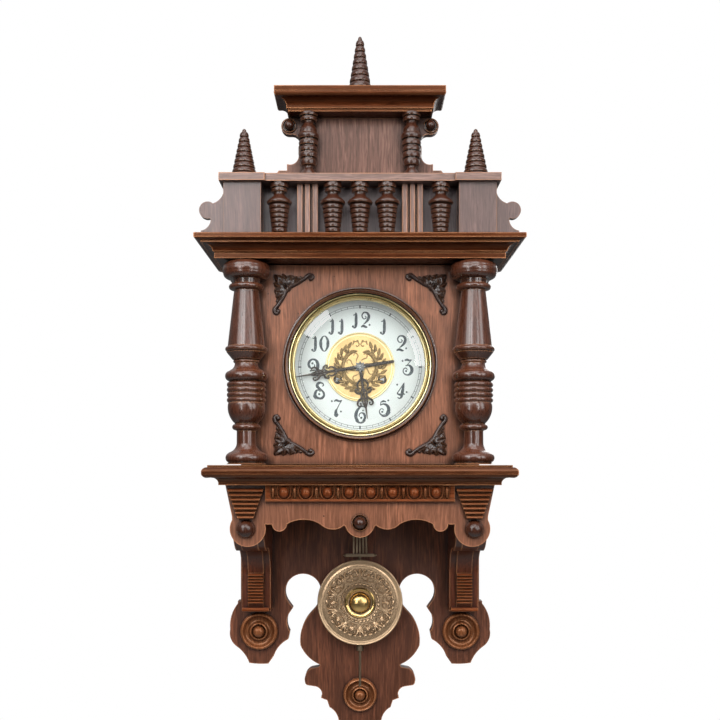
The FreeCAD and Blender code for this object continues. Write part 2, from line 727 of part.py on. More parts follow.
cap_inner = tower_inner - d.cap_overhang
cap_outer = d.tower_x + d.tower_half + d.cap_overhang
cap_back = tower_back - d.cap_overhang
cap_front = d.rail_front + d.cap_overhang * 0.6
rail = new_body()
rail_plan = mirrored([(cap_inner, d.rail_front * -1), (cap_inner, cap_front * -1),
                      (cap_outer, cap_front * -1), (cap_outer, cap_back * -1),
                      (cap_inner, cap_back * -1), (cap_inner, d.rail_back * -1)])
add(rail, "Pad", sketch_on(rail, "XY_Plane", [rail_plan], offset=rail_under), d.rail_thick)
keep(rail, "gallery_rail")

ear_x = d.tower_x + d.tower_half
EAR_EDGE = ((0, 0), (27, 0), (26.5, 12, -0.18), (15, 24.5), (15.5, 26.6), (18.7, 26, quarter),
            (28.7, 36, quarter), (18.7, 46, 0.084), (12.5, 43.9, -0.2), (0, 65))
ear_back = d.rail_front - d.ear_setback - d.gallery_thick
ear = board(shifted(EAR_EDGE, ear_x, cornice_top), ear_back, d.gallery_thick)
keep(group([tower, opposite(tower), ear, opposite(ear)]), "gallery_ends")

flute = d.pilaster_width / 7
pilaster_rear = gallery_face * -1
pilaster_front = pilaster_rear - d.pilaster_thick
pilaster_plan = [(d.pilaster_width / -2, pilaster_front, 0)]
for index in range(3):
    start = d.pilaster_width / -2 + flute * (index * 2 + 1)
    pilaster_plan += [(start, pilaster_front, -0.45), (start + flute, pilaster_front, 0)]
pilaster_plan += [(d.pilaster_width / 2, pilaster_front, 0), (d.pilaster_width / 2, pilaster_rear, 0),
                  (d.pilaster_width / -2, pilaster_rear, 0)]
pilaster = new_body()
add(pilaster, "Pad", sketch_on(pilaster, "XY_Plane", [pilaster_plan], offset=cornice_top), d.gallery_height)
place(pilaster, d.pilaster_x)
keep(group([pilaster, opposite(pilaster)]), "gallery_pilasters")

BALUSTER = ((8, 0, 0.2), (9, 5), (7.2, 7, 0.2), (7.8, 12), (7.4, 12.6, 0.2), (8.6, 18.5),
            (8.1, 19, 0.2), (9.4, 25), (8.9, 25.5, 0.2), (10.2, 31), (9.6, 31.6, 0.2), (11, 37),
            (10.4, 37.6), (14.7, 43, 0.35), (14.2, 47, -0.12), (7.5, 54), (6.2, 56), (6.2, 58),
            (9.5, 60, 0.4), (9.5, 64), (8, 65), (10.5, 69))
balusters = []
baluster_axis = gallery_face + d.baluster_radius + 0.1
for x in (d.baluster_outer * -1, d.baluster_gap * -1, 0, d.baluster_gap, d.baluster_outer):
    baluster = turned(fitted(BALUSTER, d.baluster_radius, d.gallery_height))
    balusters.append(place(baluster, x, baluster_axis, cornice_top))
keep(group(balusters), "balusters")


def spire(radius, height):
    """A cone of rounded rings with a small tip."""
    rings = int(number(d.spire_rings))
    outline = []
    for index in range(rings):
        low = index / rings * 0.92
        high = (index + 0.88) / rings * 0.92
        outline.append((radius * (1 - 0.78 * low), height * low, 0.16))
        outline.append((radius * (0.97 - 0.78 * high), height * high, 0))
    outline += [(radius * 0.27, height * 0.92, 0.2), (0, height, 0)]
    return turned(outline)


spire_axis = (cap_back + cap_front) / 2
attic_axis = attic_back + d.top_spire_radius
tower_spire = place(spire(d.spire_radius, d.spire_height), d.tower_x, spire_axis, rail_top)
top_spire = spire(d.top_spire_radius, d.top_spire_height)
place(top_spire, 0, attic_axis, attic_top + d.attic_cornice_thick)
keep(group([tower_spire, opposite(tower_spire), top_spire]), "spires")

# Attic above the rail: eared panel, columns, bosses and its own cornice.

ATTIC_EDGE = ((102, 0), (102, 14), (99, 18), (89, 18), (89, 26, -0.3), (75, 38), (75, 47, -0.28),
              (82, 62), (86, 62, 0.5), (86, 82))
ATTIC_WIDTH = 102.0
rise = d.attic_height / 82.0
attic_edge = []
for x, z, bulge in map(corner, ATTIC_EDGE):
    attic_edge.append((d.attic_half + (x - ATTIC_WIDTH), rail_top + rise * z, bulge))
keep(board(mirrored(attic_edge), attic_back, d.attic_thick), "attic_panel")

ATTIC_COLUMN = ((10, 0), (10, 3, -0.2), (5, 10), (5, 12, 0.3), (10, 18), (11, 21, 0.35), (11, 26),
                (8.5, 28), (8.5, 31), (11.5, 37, 0.3), (12, 43), (9.5, 45), (9.5, 47), (12, 51),
                (13, 55, 0.35), (13, 60, 0.12), (9.5, 69), (6, 71), (6, 73), (8.5, 74, 0.35),
                (8.5, 77), (6.5, 78), (11, 82))
attic_column = turned(fitted(ATTIC_COLUMN, d.attic_column_radius, d.attic_height))
place(attic_column, d.attic_column_x, attic_face + d.attic_column_radius + 0.1, rail_top)
keep(group([attic_column, opposite(attic_column)]), "attic_columns")

attic_boss = turned(fitted(BOSS, d.small_boss_radius, d.small_boss_height), upright=False)
place(attic_boss, d.attic_half - 16, attic_face, rail_top + rise * 72)
keep(group(bosses + [attic_boss, opposite(attic_boss)]), "turned_bosses")

ATTIC_CORNICE_EDGE = ((-16, 0), (-16, 3), (-14, 3), (-14, 5, -0.25), (-4, 14), (-3, 14, 0.3), (-1, 19),
                      (-0.5, 19), (-0.5, 25))
attic_cornice = moulded(ATTIC_CORNICE_EDGE, d.attic_cornice_half, d.attic_cornice_front, attic_top,
                        d.attic_cornice_thick, d.attic_cornice_mould, d.rail_back)
keep(attic_cornice, "attic_cornice")

# Door with its round opening, turned ring, bezel, glass, columns, carvings and hinges.

door_foot = shelf_top + d.door_play
door_head = cornice_under - d.door_play
door_edge = mirrored([(d.case_half, door_foot), (d.case_half, door_head)])
keep(board(door_edge, door_back, d.door_thick, circles=[(0, dial_z, d.opening_radius)]), "door_panel")

ring_back = door_face
ring_front = door_face + d.ring_thick
ring_mid = (d.opening_radius + d.ring_radius) / 2
ring_outline = [(d.opening_radius, ring_front - 2, 0), (d.opening_radius, ring_back, 0),
                (d.ring_radius, ring_back, 0), (d.ring_radius, ring_back + 2, 0.3),
                (ring_mid, ring_front, 0.15)]
keep(place(ring([(r, u, -b) for r, u, b in ring_outline]), z=dial_z), "door_ring")

glass_radius = d.opening_radius - d.bezel_wall
glass_front = door_face - d.bezel_lip + 2
glass_back = glass_front - d.glass_thick
bezel_back = glass_back - 3
bezel_outline = [(d.bezel_inner, glass_front, 0), (glass_radius, glass_front, 0),
                 (glass_radius, bezel_back, 0), (d.opening_radius, bezel_back, 0),
                 (d.opening_radius, door_face, 0), (d.opening_radius - 1, door_face + 2.5, 0.2),
                 (d.bezel_inner, glass_front + 1.5, 0)]
keep(place(ring([(r, u, -b) for r, u, b in bezel_outline]), z=dial_z), "bezel")
glass_outline = [(0, glass_back, 0), (glass_radius, glass_back, 0), (glass_radius, glass_front, 0),
                 (d.bezel_inner, glass_front, 0), (d.bezel_inner - 0.5, glass_front - 1.2, 0),
                 (d.bezel_inner - d.glass_bevel, glass_front, 0), (0, glass_front, 0)]
keep(place(ring(glass_outline), z=dial_z), "door_glass")

COLUMN = (
    (23.5, 0), (21.3, 2, 0.3), (21.3, 13), (20, 14, -0.15), (11.5, 24), (11.4, 39), (13.6, 40, 0.45),
    (13.6, 47), (14, 48, 0.12), (21.8, 70), (21.2, 72, 0.3), (21.2, 78, 0.3), (21.2, 84, 0.3),
    (21.2, 90, 0.3), (21.2, 96), (20, 97, 0.42), (20, 109), (19, 110, -0.15), (13.7, 118),
    (13.9, 118.5, 0.45), (13.9, 122), (16.5, 122.5), (23.4, 131), (22.2, 131.5, 0.45), (22.2, 137.5),
    (22, 138), (14.6, 203), (18, 204, 0.4), (18, 210.5), (15.5, 211), (16, 216),
    (20.5, 216.5, 0.2), (27.3, 223, 0.1), (27.3, 229.5, 0.2), (21, 236),
)
column = turned(fitted(COLUMN, d.column_radius, door_head - door_foot))
place(column, d.column_x, door_face + d.column_axis, door_foot)
behind = block(d.column_x - d.column_radius * 2, d.column_radius * 4, door_face - d.column_radius * 2,
               d.column_radius * 2, door_foot, door_head - door_foot)
column = without(column, behind)
keep(column, "column_right")
keep(opposite(column), "column_left")

carvings = []
for sign in (1, -1):
    near = d.carving_z - d.carving_leg
    if sign > 0:
        leaf = [(d.carving_x, dial_z + near, 0), (d.carving_x, dial_z + d.carving_z, 0),
                (d.carving_x - d.carving_leg, dial_z + d.carving_z, -0.12)]
    else:
        leaf = [(d.carving_x - d.carving_leg, dial_z - d.carving_z, 0),
                (d.carving_x, dial_z - d.carving_z, 0), (d.carving_x, dial_z - near, -0.12)]
    carving = board(leaf, door_face, d.carving_thick)
    carvings += [carving, opposite(carving)]
keep(group(carvings), "corner_carvings")

hinge_x = d.case_half + d.hinge_offset
hinge_u = door_back - d.door_gap
half_hinge = d.hinge_height / 2
case_leaves = []
door_leaves = []
knuckle = half_hinge - 0.2
for middle in (door_foot + d.hinge_inset + half_hinge, door_head - d.hinge_inset - half_hinge):
    low = middle - half_hinge
    case_leaf = block(d.case_half, d.hinge_leaf_thick, hinge_u - d.hinge_leaf, d.hinge_leaf, low, knuckle)
    case_knuckle = rod(hinge_x, hinge_u, low, d.knuckle_radius, knuckle)
    pin = rod(hinge_x, hinge_u, low, d.pin_radius, d.hinge_height - 1)
    case_leaves.append(joined([case_leaf, case_knuckle, pin]))
    high = middle + 0.2
    door_leaf = block(d.case_half, d.hinge_leaf_thick, door_back, d.door_thick * 0.8, high, knuckle)
    door_knuckle = rod(hinge_x, hinge_u, high, d.knuckle_radius, knuckle)
    bore = rod(hinge_x, hinge_u, low, d.pin_radius + d.running_fit, d.hinge_height)
    door_leaves.append(without(joined([door_leaf, door_knuckle]), bore))
keep(group(case_leaves), "hinge_case_leaves")
keep(group(door_leaves), "hinge_door_leaves")

# Movement arbors, placed by tooth counts and modules from the dial centre.

wind_z = dial_z - d.wind_drop
third_distance = d.third_module * (d.centre_teeth + d.third_leaves) / 2
third_z = dial_z + leg(third_distance, d.third_x)
escape_distance = d.escape_module * (d.third_teeth + d.escape_leaves) / 2
escape_z = third_z + leg(escape_distance, d.third_x)
great_distance = root(d.wind_x * d.wind_x + d.wind_drop * d.wind_drop)
great_module = great_distance * 2 / (d.great_teeth + d.centre_leaves)
strike_distance = d.strike_module * (d.strike_teeth + d.strike_leaves) / 2
pin_x = d.wind_x * -1 - d.pin_wheel_side
pin_z = wind_z + leg(strike_distance, d.pin_wheel_side)
minute_distance = d.motion_module * (d.cannon_leaves + d.minute_teeth) / 2
hour_module = minute_distance * 2 / (d.minute_leaves + d.hour_teeth)
minute_z = dial_z - minute_distance
anchor_z = dial_z + d.suspension_height
hammer_z = dial_z + d.hammer_up
plate_rear = d.plate_back
plate_inner = plate_rear + d.plate_thick
plate_front = plate_inner + d.plate_space
plate_face = plate_front + d.plate_thick

# Plates, pillars and the brackets that hold the movement to the back board.

plate_low = dial_z - d.plate_below
plate_edge = mirrored([(d.plate_half, plate_low), (d.plate_half, dial_z + d.plate_above)])
pivot_hole = d.pivot_radius + d.running_fit
wind_bore = d.wind_arbor + d.running_fit
pivots = [(d.third_x, third_z, pivot_hole), (0, escape_z, pivot_hole), (pin_x, pin_z, pivot_hole),
          (d.wind_x, wind_z, wind_bore), (d.wind_x * -1, wind_z, wind_bore)]
through = d.arbor_radius + d.running_fit
rear_holes = pivots + [(0, dial_z, pivot_hole), (0, anchor_z, through), (d.hammer_x, hammer_z, through)]
front_holes = pivots + [(0, dial_z, through), (0, anchor_z, pivot_hole), (d.hammer_x, hammer_z, pivot_hole),
                        (0, minute_z, pivot_hole)]
keep(board(plate_edge, plate_rear, d.plate_thick, circles=rear_holes), "back_plate")
keep(board(plate_edge, plate_front, d.plate_thick, circles=front_holes), "front_plate")

pillars = []
for x in (d.plate_half - d.pillar_inset, d.pillar_inset - d.plate_half):
    for z in (plate_low + d.pillar_inset * 0.75, dial_z + d.plate_above - d.pillar_inset * 0.75):
        pillars.append(rod(x, plate_inner, z, d.pillar_radius, d.plate_space, upright=False))
keep(group(pillars), "plate_pillars")

seats = []
seat_x = d.plate_half * 0.7
high_seat = dial_z + d.plate_above - d.seat_height - 2
for x, z in ((seat_x, high_seat), (seat_x * -1, high_seat), (seat_x, plate_low)):
    left = x - d.seat_width / 2
    arm = block(left, d.seat_width, d.back_thick, plate_rear - d.back_thick, z, d.seat_height)
    foot_low = z - (d.seat_foot - d.seat_height) / 2
    foot = block(left, d.seat_width, d.back_thick, d.seat_plate, foot_low, d.seat_foot)
    seats.append(joined([arm, foot]))
keep(group(seats), "movement_brackets")

# Wheels: straight-sided teeth with wide clearance, turning together without touching.

TIP = 0.75
FLOOR = 1.1
wheel_thick = number(d.wheel_thick)


def gear_face(teeth, module, bore=0.0, spokes=0):
    """Flat outline of a wheel or pinion with its first tooth to the right."""
    pitch = teeth * module / 2
    step = 2 * math.pi / teeth
    spots = []
    for index in range(teeth):
        for radius, share in ((pitch - FLOOR * module, -0.23), (pitch + TIP * module, -0.09),
                              (pitch + TIP * module, 0.09), (pitch - FLOOR * module, 0.23)):
            angle = (index + share) * step
            spots.append(FreeCAD.Vector(radius * math.cos(angle), 0, radius * math.sin(angle)))
    face = Part.Face(Part.makePolygon(spots + spots[:1]))
    centre = FreeCAD.Vector(0, 0, 0)
    axis = FreeCAD.Vector(0, -1, 0)
    if bore:
        face = face.cut(Part.Face(Part.Wire(Part.makeCircle(bore, centre, axis))))
    for index in range(spokes):
        angle = (index + 0.5) * 2 * math.pi / spokes
        spot = FreeCAD.Vector(math.cos(angle), 0, math.sin(angle)) * (pitch * 0.58)
        face = face.cut(Part.Face(Part.Wire(Part.makeCircle(pitch * 0.24, spot, axis))))
    return face


def gear(teeth, module, back, thick, turn=0.0, bore=0.0, spokes=0):
    face = gear_face(int(number(teeth)), number(module), bore, spokes)
    solid = face.extrude(FreeCAD.Vector(0, -number(thick), 0))
    solid.rotate(FreeCAD.Vector(0, 0, 0), FreeCAD.Vector(0, -1, 0), turn)
    solid.translate(FreeCAD.Vector(0, -number(back), 0))
    return solid


def spindle(radius, back, front):
    rear = FreeCAD.Vector(0, -number(back), 0)
    return Part.makeCylinder(number(radius), number(front) - number(back), rear, FreeCAD.Vector(0, -1, 0))


def shaped(label, solids, x=0, z=0):
    """A piece joined from solids drawn about its own arbor."""
    whole = solids[0].multiFuse(solids[1:]) if len(solids) > 1 else solids[0]
    item = doc.addObject("Part::Feature", "Piece")
    item.Shape = whole.removeSplitter()
    item.Placement = FreeCAD.Placement(FreeCAD.Vector(number(x), 0, number(z)), FreeCAD.Rotation())
    return keep(item, label)


def meshing(from_x, from_z, to_x, to_z, teeth, leaves, turn=0.0):
    """Turn of the second wheel, in degrees, that puts a gap where the first has a tooth."""
    direction = math.degrees(math.atan2(number(to_z) - number(from_z), number(to_x) - number(from_x)))
    first_step = 360 / number(teeth)
    second_step = 360 / number(leaves)
    phase = (direction - turn) / first_step
    return direction + 180 + phase * second_step + second_step / 2


third_plane = plate_inner + 1
great_plane = plate_inner + 4
drum_plane = great_plane + 3
centre_plane = plate_front - 4


def arbor(front):
    """Arbor between the plates with its two pivots."""
    shaft = spindle(d.arbor_radius, plate_inner + 0.3, plate_front - 0.3)
    return [spindle(d.pivot_radius, plate_rear, front), shaft]


drum = spindle(d.barrel_radius, drum_plane, drum_plane + d.barrel_length)
hollow = spindle(d.barrel_radius - 1.5, drum_plane, drum_plane + d.barrel_length - 1.5)
arbor_room = spindle(wind_bore, great_plane - 5, drum_plane + d.barrel_length + 5)
for label, side_x, teeth, module in (("going_barrel", d.wind_x, d.great_teeth, great_module),
                                     ("strike_barrel", d.wind_x * -1, d.strike_teeth, d.strike_module)):
    wheel = gear(teeth, module, great_plane, 3)
    shaped(label, [wheel.fuse(drum.cut(hollow)).cut(arbor_room)], side_x, wind_z)

square = number(d.wind_square)
for label, side_x in (("going_winding_arbor", d.wind_x), ("strike_winding_arbor", d.wind_x * -1)):
    key_end = Part.makeBox(square, number(d.wind_end - plate_face), square,
                           FreeCAD.Vector(-square / 2, -number(d.wind_end), -square / 2))
    stop = spindle(d.wind_arbor + 3, drum_plane + 2, drum_plane + d.barrel_length - 4)
    shaped(label, [spindle(d.wind_arbor, plate_rear, plate_face + 1), stop, key_end], side_x, wind_z)

cannon_back = plate_face + 1
hour_back = cannon_back + 4
hour_hand_back = d.dial_back + d.dial_thick + d.centre_thick + 1
minute_hand_back = hour_hand_back + d.hand_thick + 1.5
centre_turn = meshing(d.wind_x, wind_z, 0, dial_z, d.great_teeth, d.centre_leaves)
hand_seat = d.cannon_radius * 0.75
cannon_front = minute_hand_back + d.hand_thick + 0.5
shaped("centre_arbor", arbor(plate_face + 0.5) + [
    spindle(d.arbor_radius, plate_front - 1, cannon_front + 1),
    gear(d.centre_leaves, great_module, great_plane - 1, 5, centre_turn),
    gear(d.centre_teeth, d.third_module, centre_plane, wheel_thick, spokes=5)], 0, dial_z)

cannon = gear(d.cannon_leaves, d.motion_module, cannon_back, 3)
cannon = cannon.fuse(spindle(d.cannon_radius, cannon_back, minute_hand_back))
cannon = cannon.fuse(spindle(hand_seat, minute_hand_back, cannon_front))
shaped("cannon_pinion", [cannon.cut(spindle(through, cannon_back, cannon_front))], 0, dial_z)

third_turn = meshing(0, dial_z, d.third_x, third_z, d.centre_teeth, d.third_leaves)
shaped("third_wheel", arbor(plate_face) + [
    gear(d.third_leaves, d.third_module, centre_plane - 1.5, 4, third_turn),
    gear(d.third_teeth, d.escape_module, third_plane, wheel_thick, spokes=5)], d.third_x, third_z)

escape_turn = meshing(d.third_x, third_z, 0, escape_z, d.third_teeth, d.escape_leaves)
escape_plane = drum_plane + d.barrel_length * 0.45
teeth = int(number(d.escape_teeth))
spots = []
for index in range(teeth):
    for share, reach in ((0.0, 1.0), (0.12, 1.0), (0.3, 0.86), (0.86, 0.86)):
        angle = 2 * math.pi * (index + share) / teeth
        radius = number(d.escape_radius) * reach
        spots.append(FreeCAD.Vector(radius * math.cos(angle), 0, radius * math.sin(angle)))
escape_disc = Part.Face(Part.makePolygon(spots + spots[:1])).extrude(FreeCAD.Vector(0, -wheel_thick, 0))
escape_disc.translate(FreeCAD.Vector(0, -number(escape_plane), 0))
shaped("escape_wheel", arbor(plate_face) + [
    gear(d.escape_leaves, d.escape_module, third_plane - 0.6, 3, escape_turn), escape_disc], 0, escape_z)

pin_turn = meshing(d.wind_x * -1, wind_z, pin_x, pin_z, d.strike_teeth, d.strike_leaves)
pin_face = centre_plane + wheel_thick
pin_reach = number(d.pin_wheel_radius) - 2.5
pin_count = int(number(d.pin_count))
pins = []
for index in range(pin_count):
    angle = 2 * math.pi * index / pin_count
    pin = spindle(0.8, pin_face - 0.5, pin_face + 1.6)
    pin.translate(FreeCAD.Vector(pin_reach * math.cos(angle), 0, pin_reach * math.sin(angle)))
    pins.append(pin)
shaped("pin_wheel", arbor(plate_face) + pins + [
    gear(d.strike_leaves, d.strike_module, great_plane - 1, 5, pin_turn),
    spindle(d.pin_wheel_radius, centre_plane, pin_face)], pin_x, pin_z)

# Motion work behind the dial: twelve turns of the minute hand to one of the hour hand.

minute_turn = meshing(0, dial_z, 0, minute_z, d.cannon_leaves, d.minute_teeth)
shaped("minute_wheel", [
    spindle(d.pivot_radius, plate_front, hour_back + 3),
    gear(d.minute_teeth, d.motion_module, cannon_back + 0.5, wheel_thick, minute_turn),
    gear(d.minute_leaves, hour_module, cannon_back + 1, 6)], 0, minute_z)
hour_turn = meshing(0, minute_z, 0, dial_z, d.minute_leaves, d.hour_teeth)
pipe_bore = d.cannon_radius + d.running_fit
pipe_radius = pipe_bore + d.hour_pipe
pipe = spindle(pipe_radius, hour_back, hour_hand_back).cut(spindle(pipe_bore, hour_back, hour_hand_back))
hour_gear = gear(d.hour_teeth, hour_module, hour_back, wheel_thick, hour_turn, bore=number(pipe_bore))
shaped("hour_wheel", [hour_gear, pipe], 0, dial_z)

# Anchor, crutch and suspension on the pendulum's own axis.

swing = d.pendulum_depth
crutch_back = swing + 6
reach = number(d.escape_radius + d.pallet_gap)
drop_to_wheel = number(anchor_z - escape_z)
spread = math.radians(48)
pallet_x = reach * math.sin(spread)
pallet_z = reach * math.cos(spread) - drop_to_wheel
arch = [(-3, 3), (3, 3), (pallet_x + 3, pallet_z + 4), (pallet_x + 2.5, pallet_z), (pallet_x, pallet_z),
        (0, -5.5), (-pallet_x, pallet_z), (-pallet_x - 2.5, pallet_z), (-pallet_x - 3, pallet_z + 4)]
anchor_plane = number(escape_plane) - 0.5
arch_spots = [FreeCAD.Vector(x, -anchor_plane, z) for x, z in arch]
arch_solid = Part.Face(Part.makePolygon(arch_spots + arch_spots[:1])).extrude(FreeCAD.Vector(0, -2.5, 0))
crutch_drop = number(d.crutch_drop)
crutch = Part.makeBox(3, 2, crutch_drop + 3, FreeCAD.Vector(-1.5, -number(crutch_back) - 2, -crutch_drop))
crutch_pin = spindle(1, swing - 1.5, crutch_back + 1)
crutch_pin.translate(FreeCAD.Vector(0, 0, 1.5 - crutch_drop))
anchor_pivot = spindle(d.pivot_radius, plate_inner, plate_face)
anchor_shaft = spindle(d.arbor_radius, crutch_back, plate_front - 0.3)
shaped("anchor", [anchor_pivot, anchor_shaft, arch_solid, crutch, crutch_pin], 0, anchor_z)

cock_back = swing - d.spring_width / 2 - 3
cock_deep = d.spring_width + 6
cock_top = block(-6, 12, cock_back, plate_rear - cock_back, anchor_z + 4, 6)
cock_foot = block(-12, 24, plate_rear - 2, 2, anchor_z + 4, d.plate_above - d.suspension_height - 4)
lugs = [block(-4, 8, start, 2, anchor_z - 4, 9) for start in (cock_back, cock_back + cock_deep - 2)]
pin_bore = rod(0, cock_back - 5, anchor_z, d.pivot_radius + d.running_fit, cock_deep + 6, upright=False)
keep(without(joined([cock_top, cock_foot, *lugs]), pin_bore), "suspension_cock")

spring_pin = rod(0, cock_back - 0.5, anchor_z, d.pivot_radius, cock_deep + 0.3, upright=False)
leaf = block(d.spring_thick / -2, d.spring_thick, swing - d.spring_width / 2, d.spring_width,
             anchor_z - d.spring_length, d.spring_length)
keep(joined([spring_pin, leaf]), "suspension_spring")

# Pendulum: crossbars, gridiron rods, bob and rating nut.

bob_z = anchor_z - d.pendulum_length
rod_half = d.rod_gap * ((number(d.rod_count) - 1) / 2) + d.rod_radius + 1.5
bar_deep = d.rod_radius * 2 + 3
bar_back = swing - bar_deep / 2
top_bar_z = anchor_z - d.spring_length - d.crosshead_height
bar_z = bob_z + d.crossbar_above
rods = int(number(d.rod_count))
rod_spots = [d.rod_gap * (index - (rods - 1) / 2) for index in range(rods)]
top_bar = block(rod_half * -1, rod_half * 2, bar_back, bar_deep, top_bar_z, d.crosshead_height)
low_bar = block(d.crossbar_width / -2, d.crossbar_width, bar_back, bar_deep, bar_z, d.crossbar_height)
crutch_room = rod(0, bar_back - 1, anchor_z + 1.5 - d.crutch_drop, 1.4, bar_deep + 2, upright=False)
rod_room = rod(0, swing, bar_z - 1, d.rod_radius, d.crossbar_height + 2)
keep(group([without(top_bar, crutch_room), without(low_bar, rod_room)]), "pendulum_crossbars")

rod_pieces = []
for index, x in enumerate(rod_spots):
    upper = bar_z + d.crossbar_height
    if index * 2 == rods - 1:
        upper = bob_z - d.tail_below
    rod_pieces.append(rod(x, swing, upper, d.rod_radius, top_bar_z - upper))
keep(group(rod_pieces), "pendulum_rods")

half_bob = d.bob_thick / 2
BOB_FACE = ((1.0, 0.2), (0.97, 0.6), (0.9, 0.52), (0.86, 0.62), (0.62, 0.72), (0.42, 0.62), (0.38, 0.55),
            (0.34, 0.78), (0.26, 0.74), (0.24, 0.62, 0.25), (0, 1.0))
bob_outline = [(0, swing - half_bob * 0.6, 0), (d.bob_radius * 0.9, swing - half_bob * 0.6, 0.1)]
for share, proud, bulge in map(corner, BOB_FACE):
    bob_outline.append((d.bob_radius * share if share else 0, swing + half_bob * proud, bulge))
bob = place(ring(bob_outline), z=bob_z)
bob_bore = rod(0, swing, bob_z - d.bob_radius - 5, d.rod_radius + d.running_fit, d.bob_radius * 2 + 10)
keep(without(bob, bob_bore), "pendulum_bob")

nut_z = bob_z - d.bob_radius - d.nut_height - 1
nut = rod(0, swing, nut_z, d.nut_radius, d.nut_height)
nut_collar = rod(0, swing, nut_z + d.nut_height, d.nut_radius * 0.6, 0.7)
nut_bore = rod(0, swing, nut_z - 1, d.rod_radius + d.running_fit, d.nut_height + 4)
keep(without(joined([nut, nut_collar]), nut_bore), "rating_nut")

# Dial, gilt centre and hands.

dial_face = d.dial_back + d.dial_thick
wind_holes = [(d.wind_x, wind_z, d.wind_hole), (d.wind_x * -1, wind_z, d.wind_hole)]


def pierced_disc(radius, back, thick):
    """A round plate with a middle hole and the two winding holes."""
    body = new_body()
    circles = [(0, dial_z, radius), (0, dial_z, d.dial_hole)] + wind_holes
    add(body, "Pad", sketch_on(body, "XZ_Plane", [], circles, back), thick)
    return body


disc = pierced_disc(d.dial_radius, d.dial_back, d.dial_thick)
feet = []
for angle in (30, 150, 270):
    x = d.dial_foot_reach * math.cos(math.radians(angle))
    z = dial_z + d.dial_foot_reach * math.sin(math.radians(angle))
    feet.append(rod(x, plate_face, z, d.dial_foot_radius, d.dial_back - plate_face, upright=False))
keep(joined([disc, *feet]), "dial_plate")
keep(pierced_disc(d.centre_radius, dial_face, d.centre_thick), "dial_centre")


def hand(label, back, bore, outline, degrees):
    """A flat hand drawn upright about its hub, then turned clockwise to its place."""
    spots = [FreeCAD.Vector(x, 0, z) for x, z in outline]
    spots += [FreeCAD.Vector(-x, 0, z) for x, z in reversed(outline) if x]
    thick = FreeCAD.Vector(0, -number(d.hand_thick), 0)
    blade = Part.Face(Part.makePolygon(spots + spots[:1])).extrude(thick)
    solid = blade.fuse(spindle(bore + 2.2, 0, d.hand_thick)).cut(spindle(bore, 0, d.hand_thick))
    solid.rotate(FreeCAD.Vector(0, 0, 0), FreeCAD.Vector(0, 1, 0), degrees)
    solid.translate(FreeCAD.Vector(0, -number(back), 0))
    shaped(label, [solid], 0, dial_z)


MINUTE_ANGLE = 261
HOUR_ANGLE = 171.75
long = number(d.minute_hand_length)
tail = number(d.minute_hand_tail)
minute_edge = [(0, -tail), (1.5, -tail * 0.97), (2, -tail * 0.8), (1.6, -tail * 0.3), (1.6, long * 0.34),
               (2.4, long * 0.44), (8, long * 0.62), (6, long * 0.68), (1.3, long * 0.74), (0, long)]
hand("minute_hand", minute_hand_back, hand_seat, minute_edge, MINUTE_ANGLE)
short = number(d.hour_hand_length)
hour_edge = [(0, 0), (1.8, short * 0.15), (1.8, short * 0.3), (3, short * 0.36), (9, short * 0.62),
             (7, short * 0.69), (1.3, short * 0.75), (0, short)]
hand("hour_hand", hour_hand_back, pipe_bore, hour_edge, HOUR_ANGLE)

# Coil gong on its round post, and the hammer above it.

gong_z = dial_z - d.gong_drop
gong_depth = d.back_thick + d.gong_stand
post_length = d.gong_stand + d.gong_wire + 3
keep(rod(d.gong_x, d.back_thick, gong_z, d.gong_block / 2, post_length, upright=False), "gong_block")
half_turns = int(2 * number(d.gong_turns))
growth = number(d.gong_pitch) / 2
wire_radius = number(d.gong_wire)
first_x = number(d.gong_block) / 2 + wire_radius + 0.05
start_x = first_x
arcs = []
for index in range(half_turns):
    sign = 1 if index % 2 == 0 else -1
    radius = first_x + growth * (index + 0.5)
    end_x = start_x - sign * 2 * radius
    top = FreeCAD.Vector((start_x + end_x) / 2, 0, sign * radius)
    arcs.append(Part.Arc(FreeCAD.Vector(start_x, 0, 0), top, FreeCAD.Vector(end_x, 0, 0)).toShape())
    start_x = end_x
spine = Part.Wire(arcs)
section = Part.Wire(Part.makeCircle(wire_radius, FreeCAD.Vector(first_x, 0, 0), FreeCAD.Vector(0, 0, 1)))
coil = spine.makePipeShell([section], True, False)
gong = doc.addObject("Part::Feature", "Gong")
gong.Shape = coil
gong_middle = FreeCAD.Vector(number(d.gong_x), -number(gong_depth), number(gong_z))
gong.Placement = FreeCAD.Placement(gong_middle, FreeCAD.Rotation())
keep(gong, "gong_coil")
least_gap = number(d.gong_pitch) - 2 * wire_radius
print(f"gong coil: least gap between turns {least_gap:.2f} mm")

length = number(d.hammer_length)
head_length = number(d.hammer_head_length)
lean = math.radians(number(d.hammer_lean))
arm_axis = FreeCAD.Vector(math.cos(lean), 0, math.sin(lean))
arm_start = FreeCAD.Vector(0, -number(gong_depth), 0)
arm = Part.makeCylinder(number(d.hammer_wire), length, arm_start, arm_axis)
head_start = arm_start + arm_axis * (length - head_length / 2)
head = Part.makeCylinder(number(d.hammer_head), head_length, head_start, arm_axis)
lift = Part.makeBox(15, 1.2, 2.4, FreeCAD.Vector(0, -number(plate_front) + 0.4, -1.2))
toward = math.degrees(math.atan2(number(pin_z - hammer_z), number(pin_x - d.hammer_x)))
lift.rotate(FreeCAD.Vector(0, 0, 0), FreeCAD.Vector(0, -1, 0), toward)
hammer_pivot = spindle(d.pivot_radius, plate_inner, plate_face)
hammer_shaft = spindle(d.arbor_radius, gong_depth - 3, plate_front - 0.3)
shaped("hammer", [hammer_pivot, hammer_shaft, arm, head, lift], d.hammer_x, hammer_z)

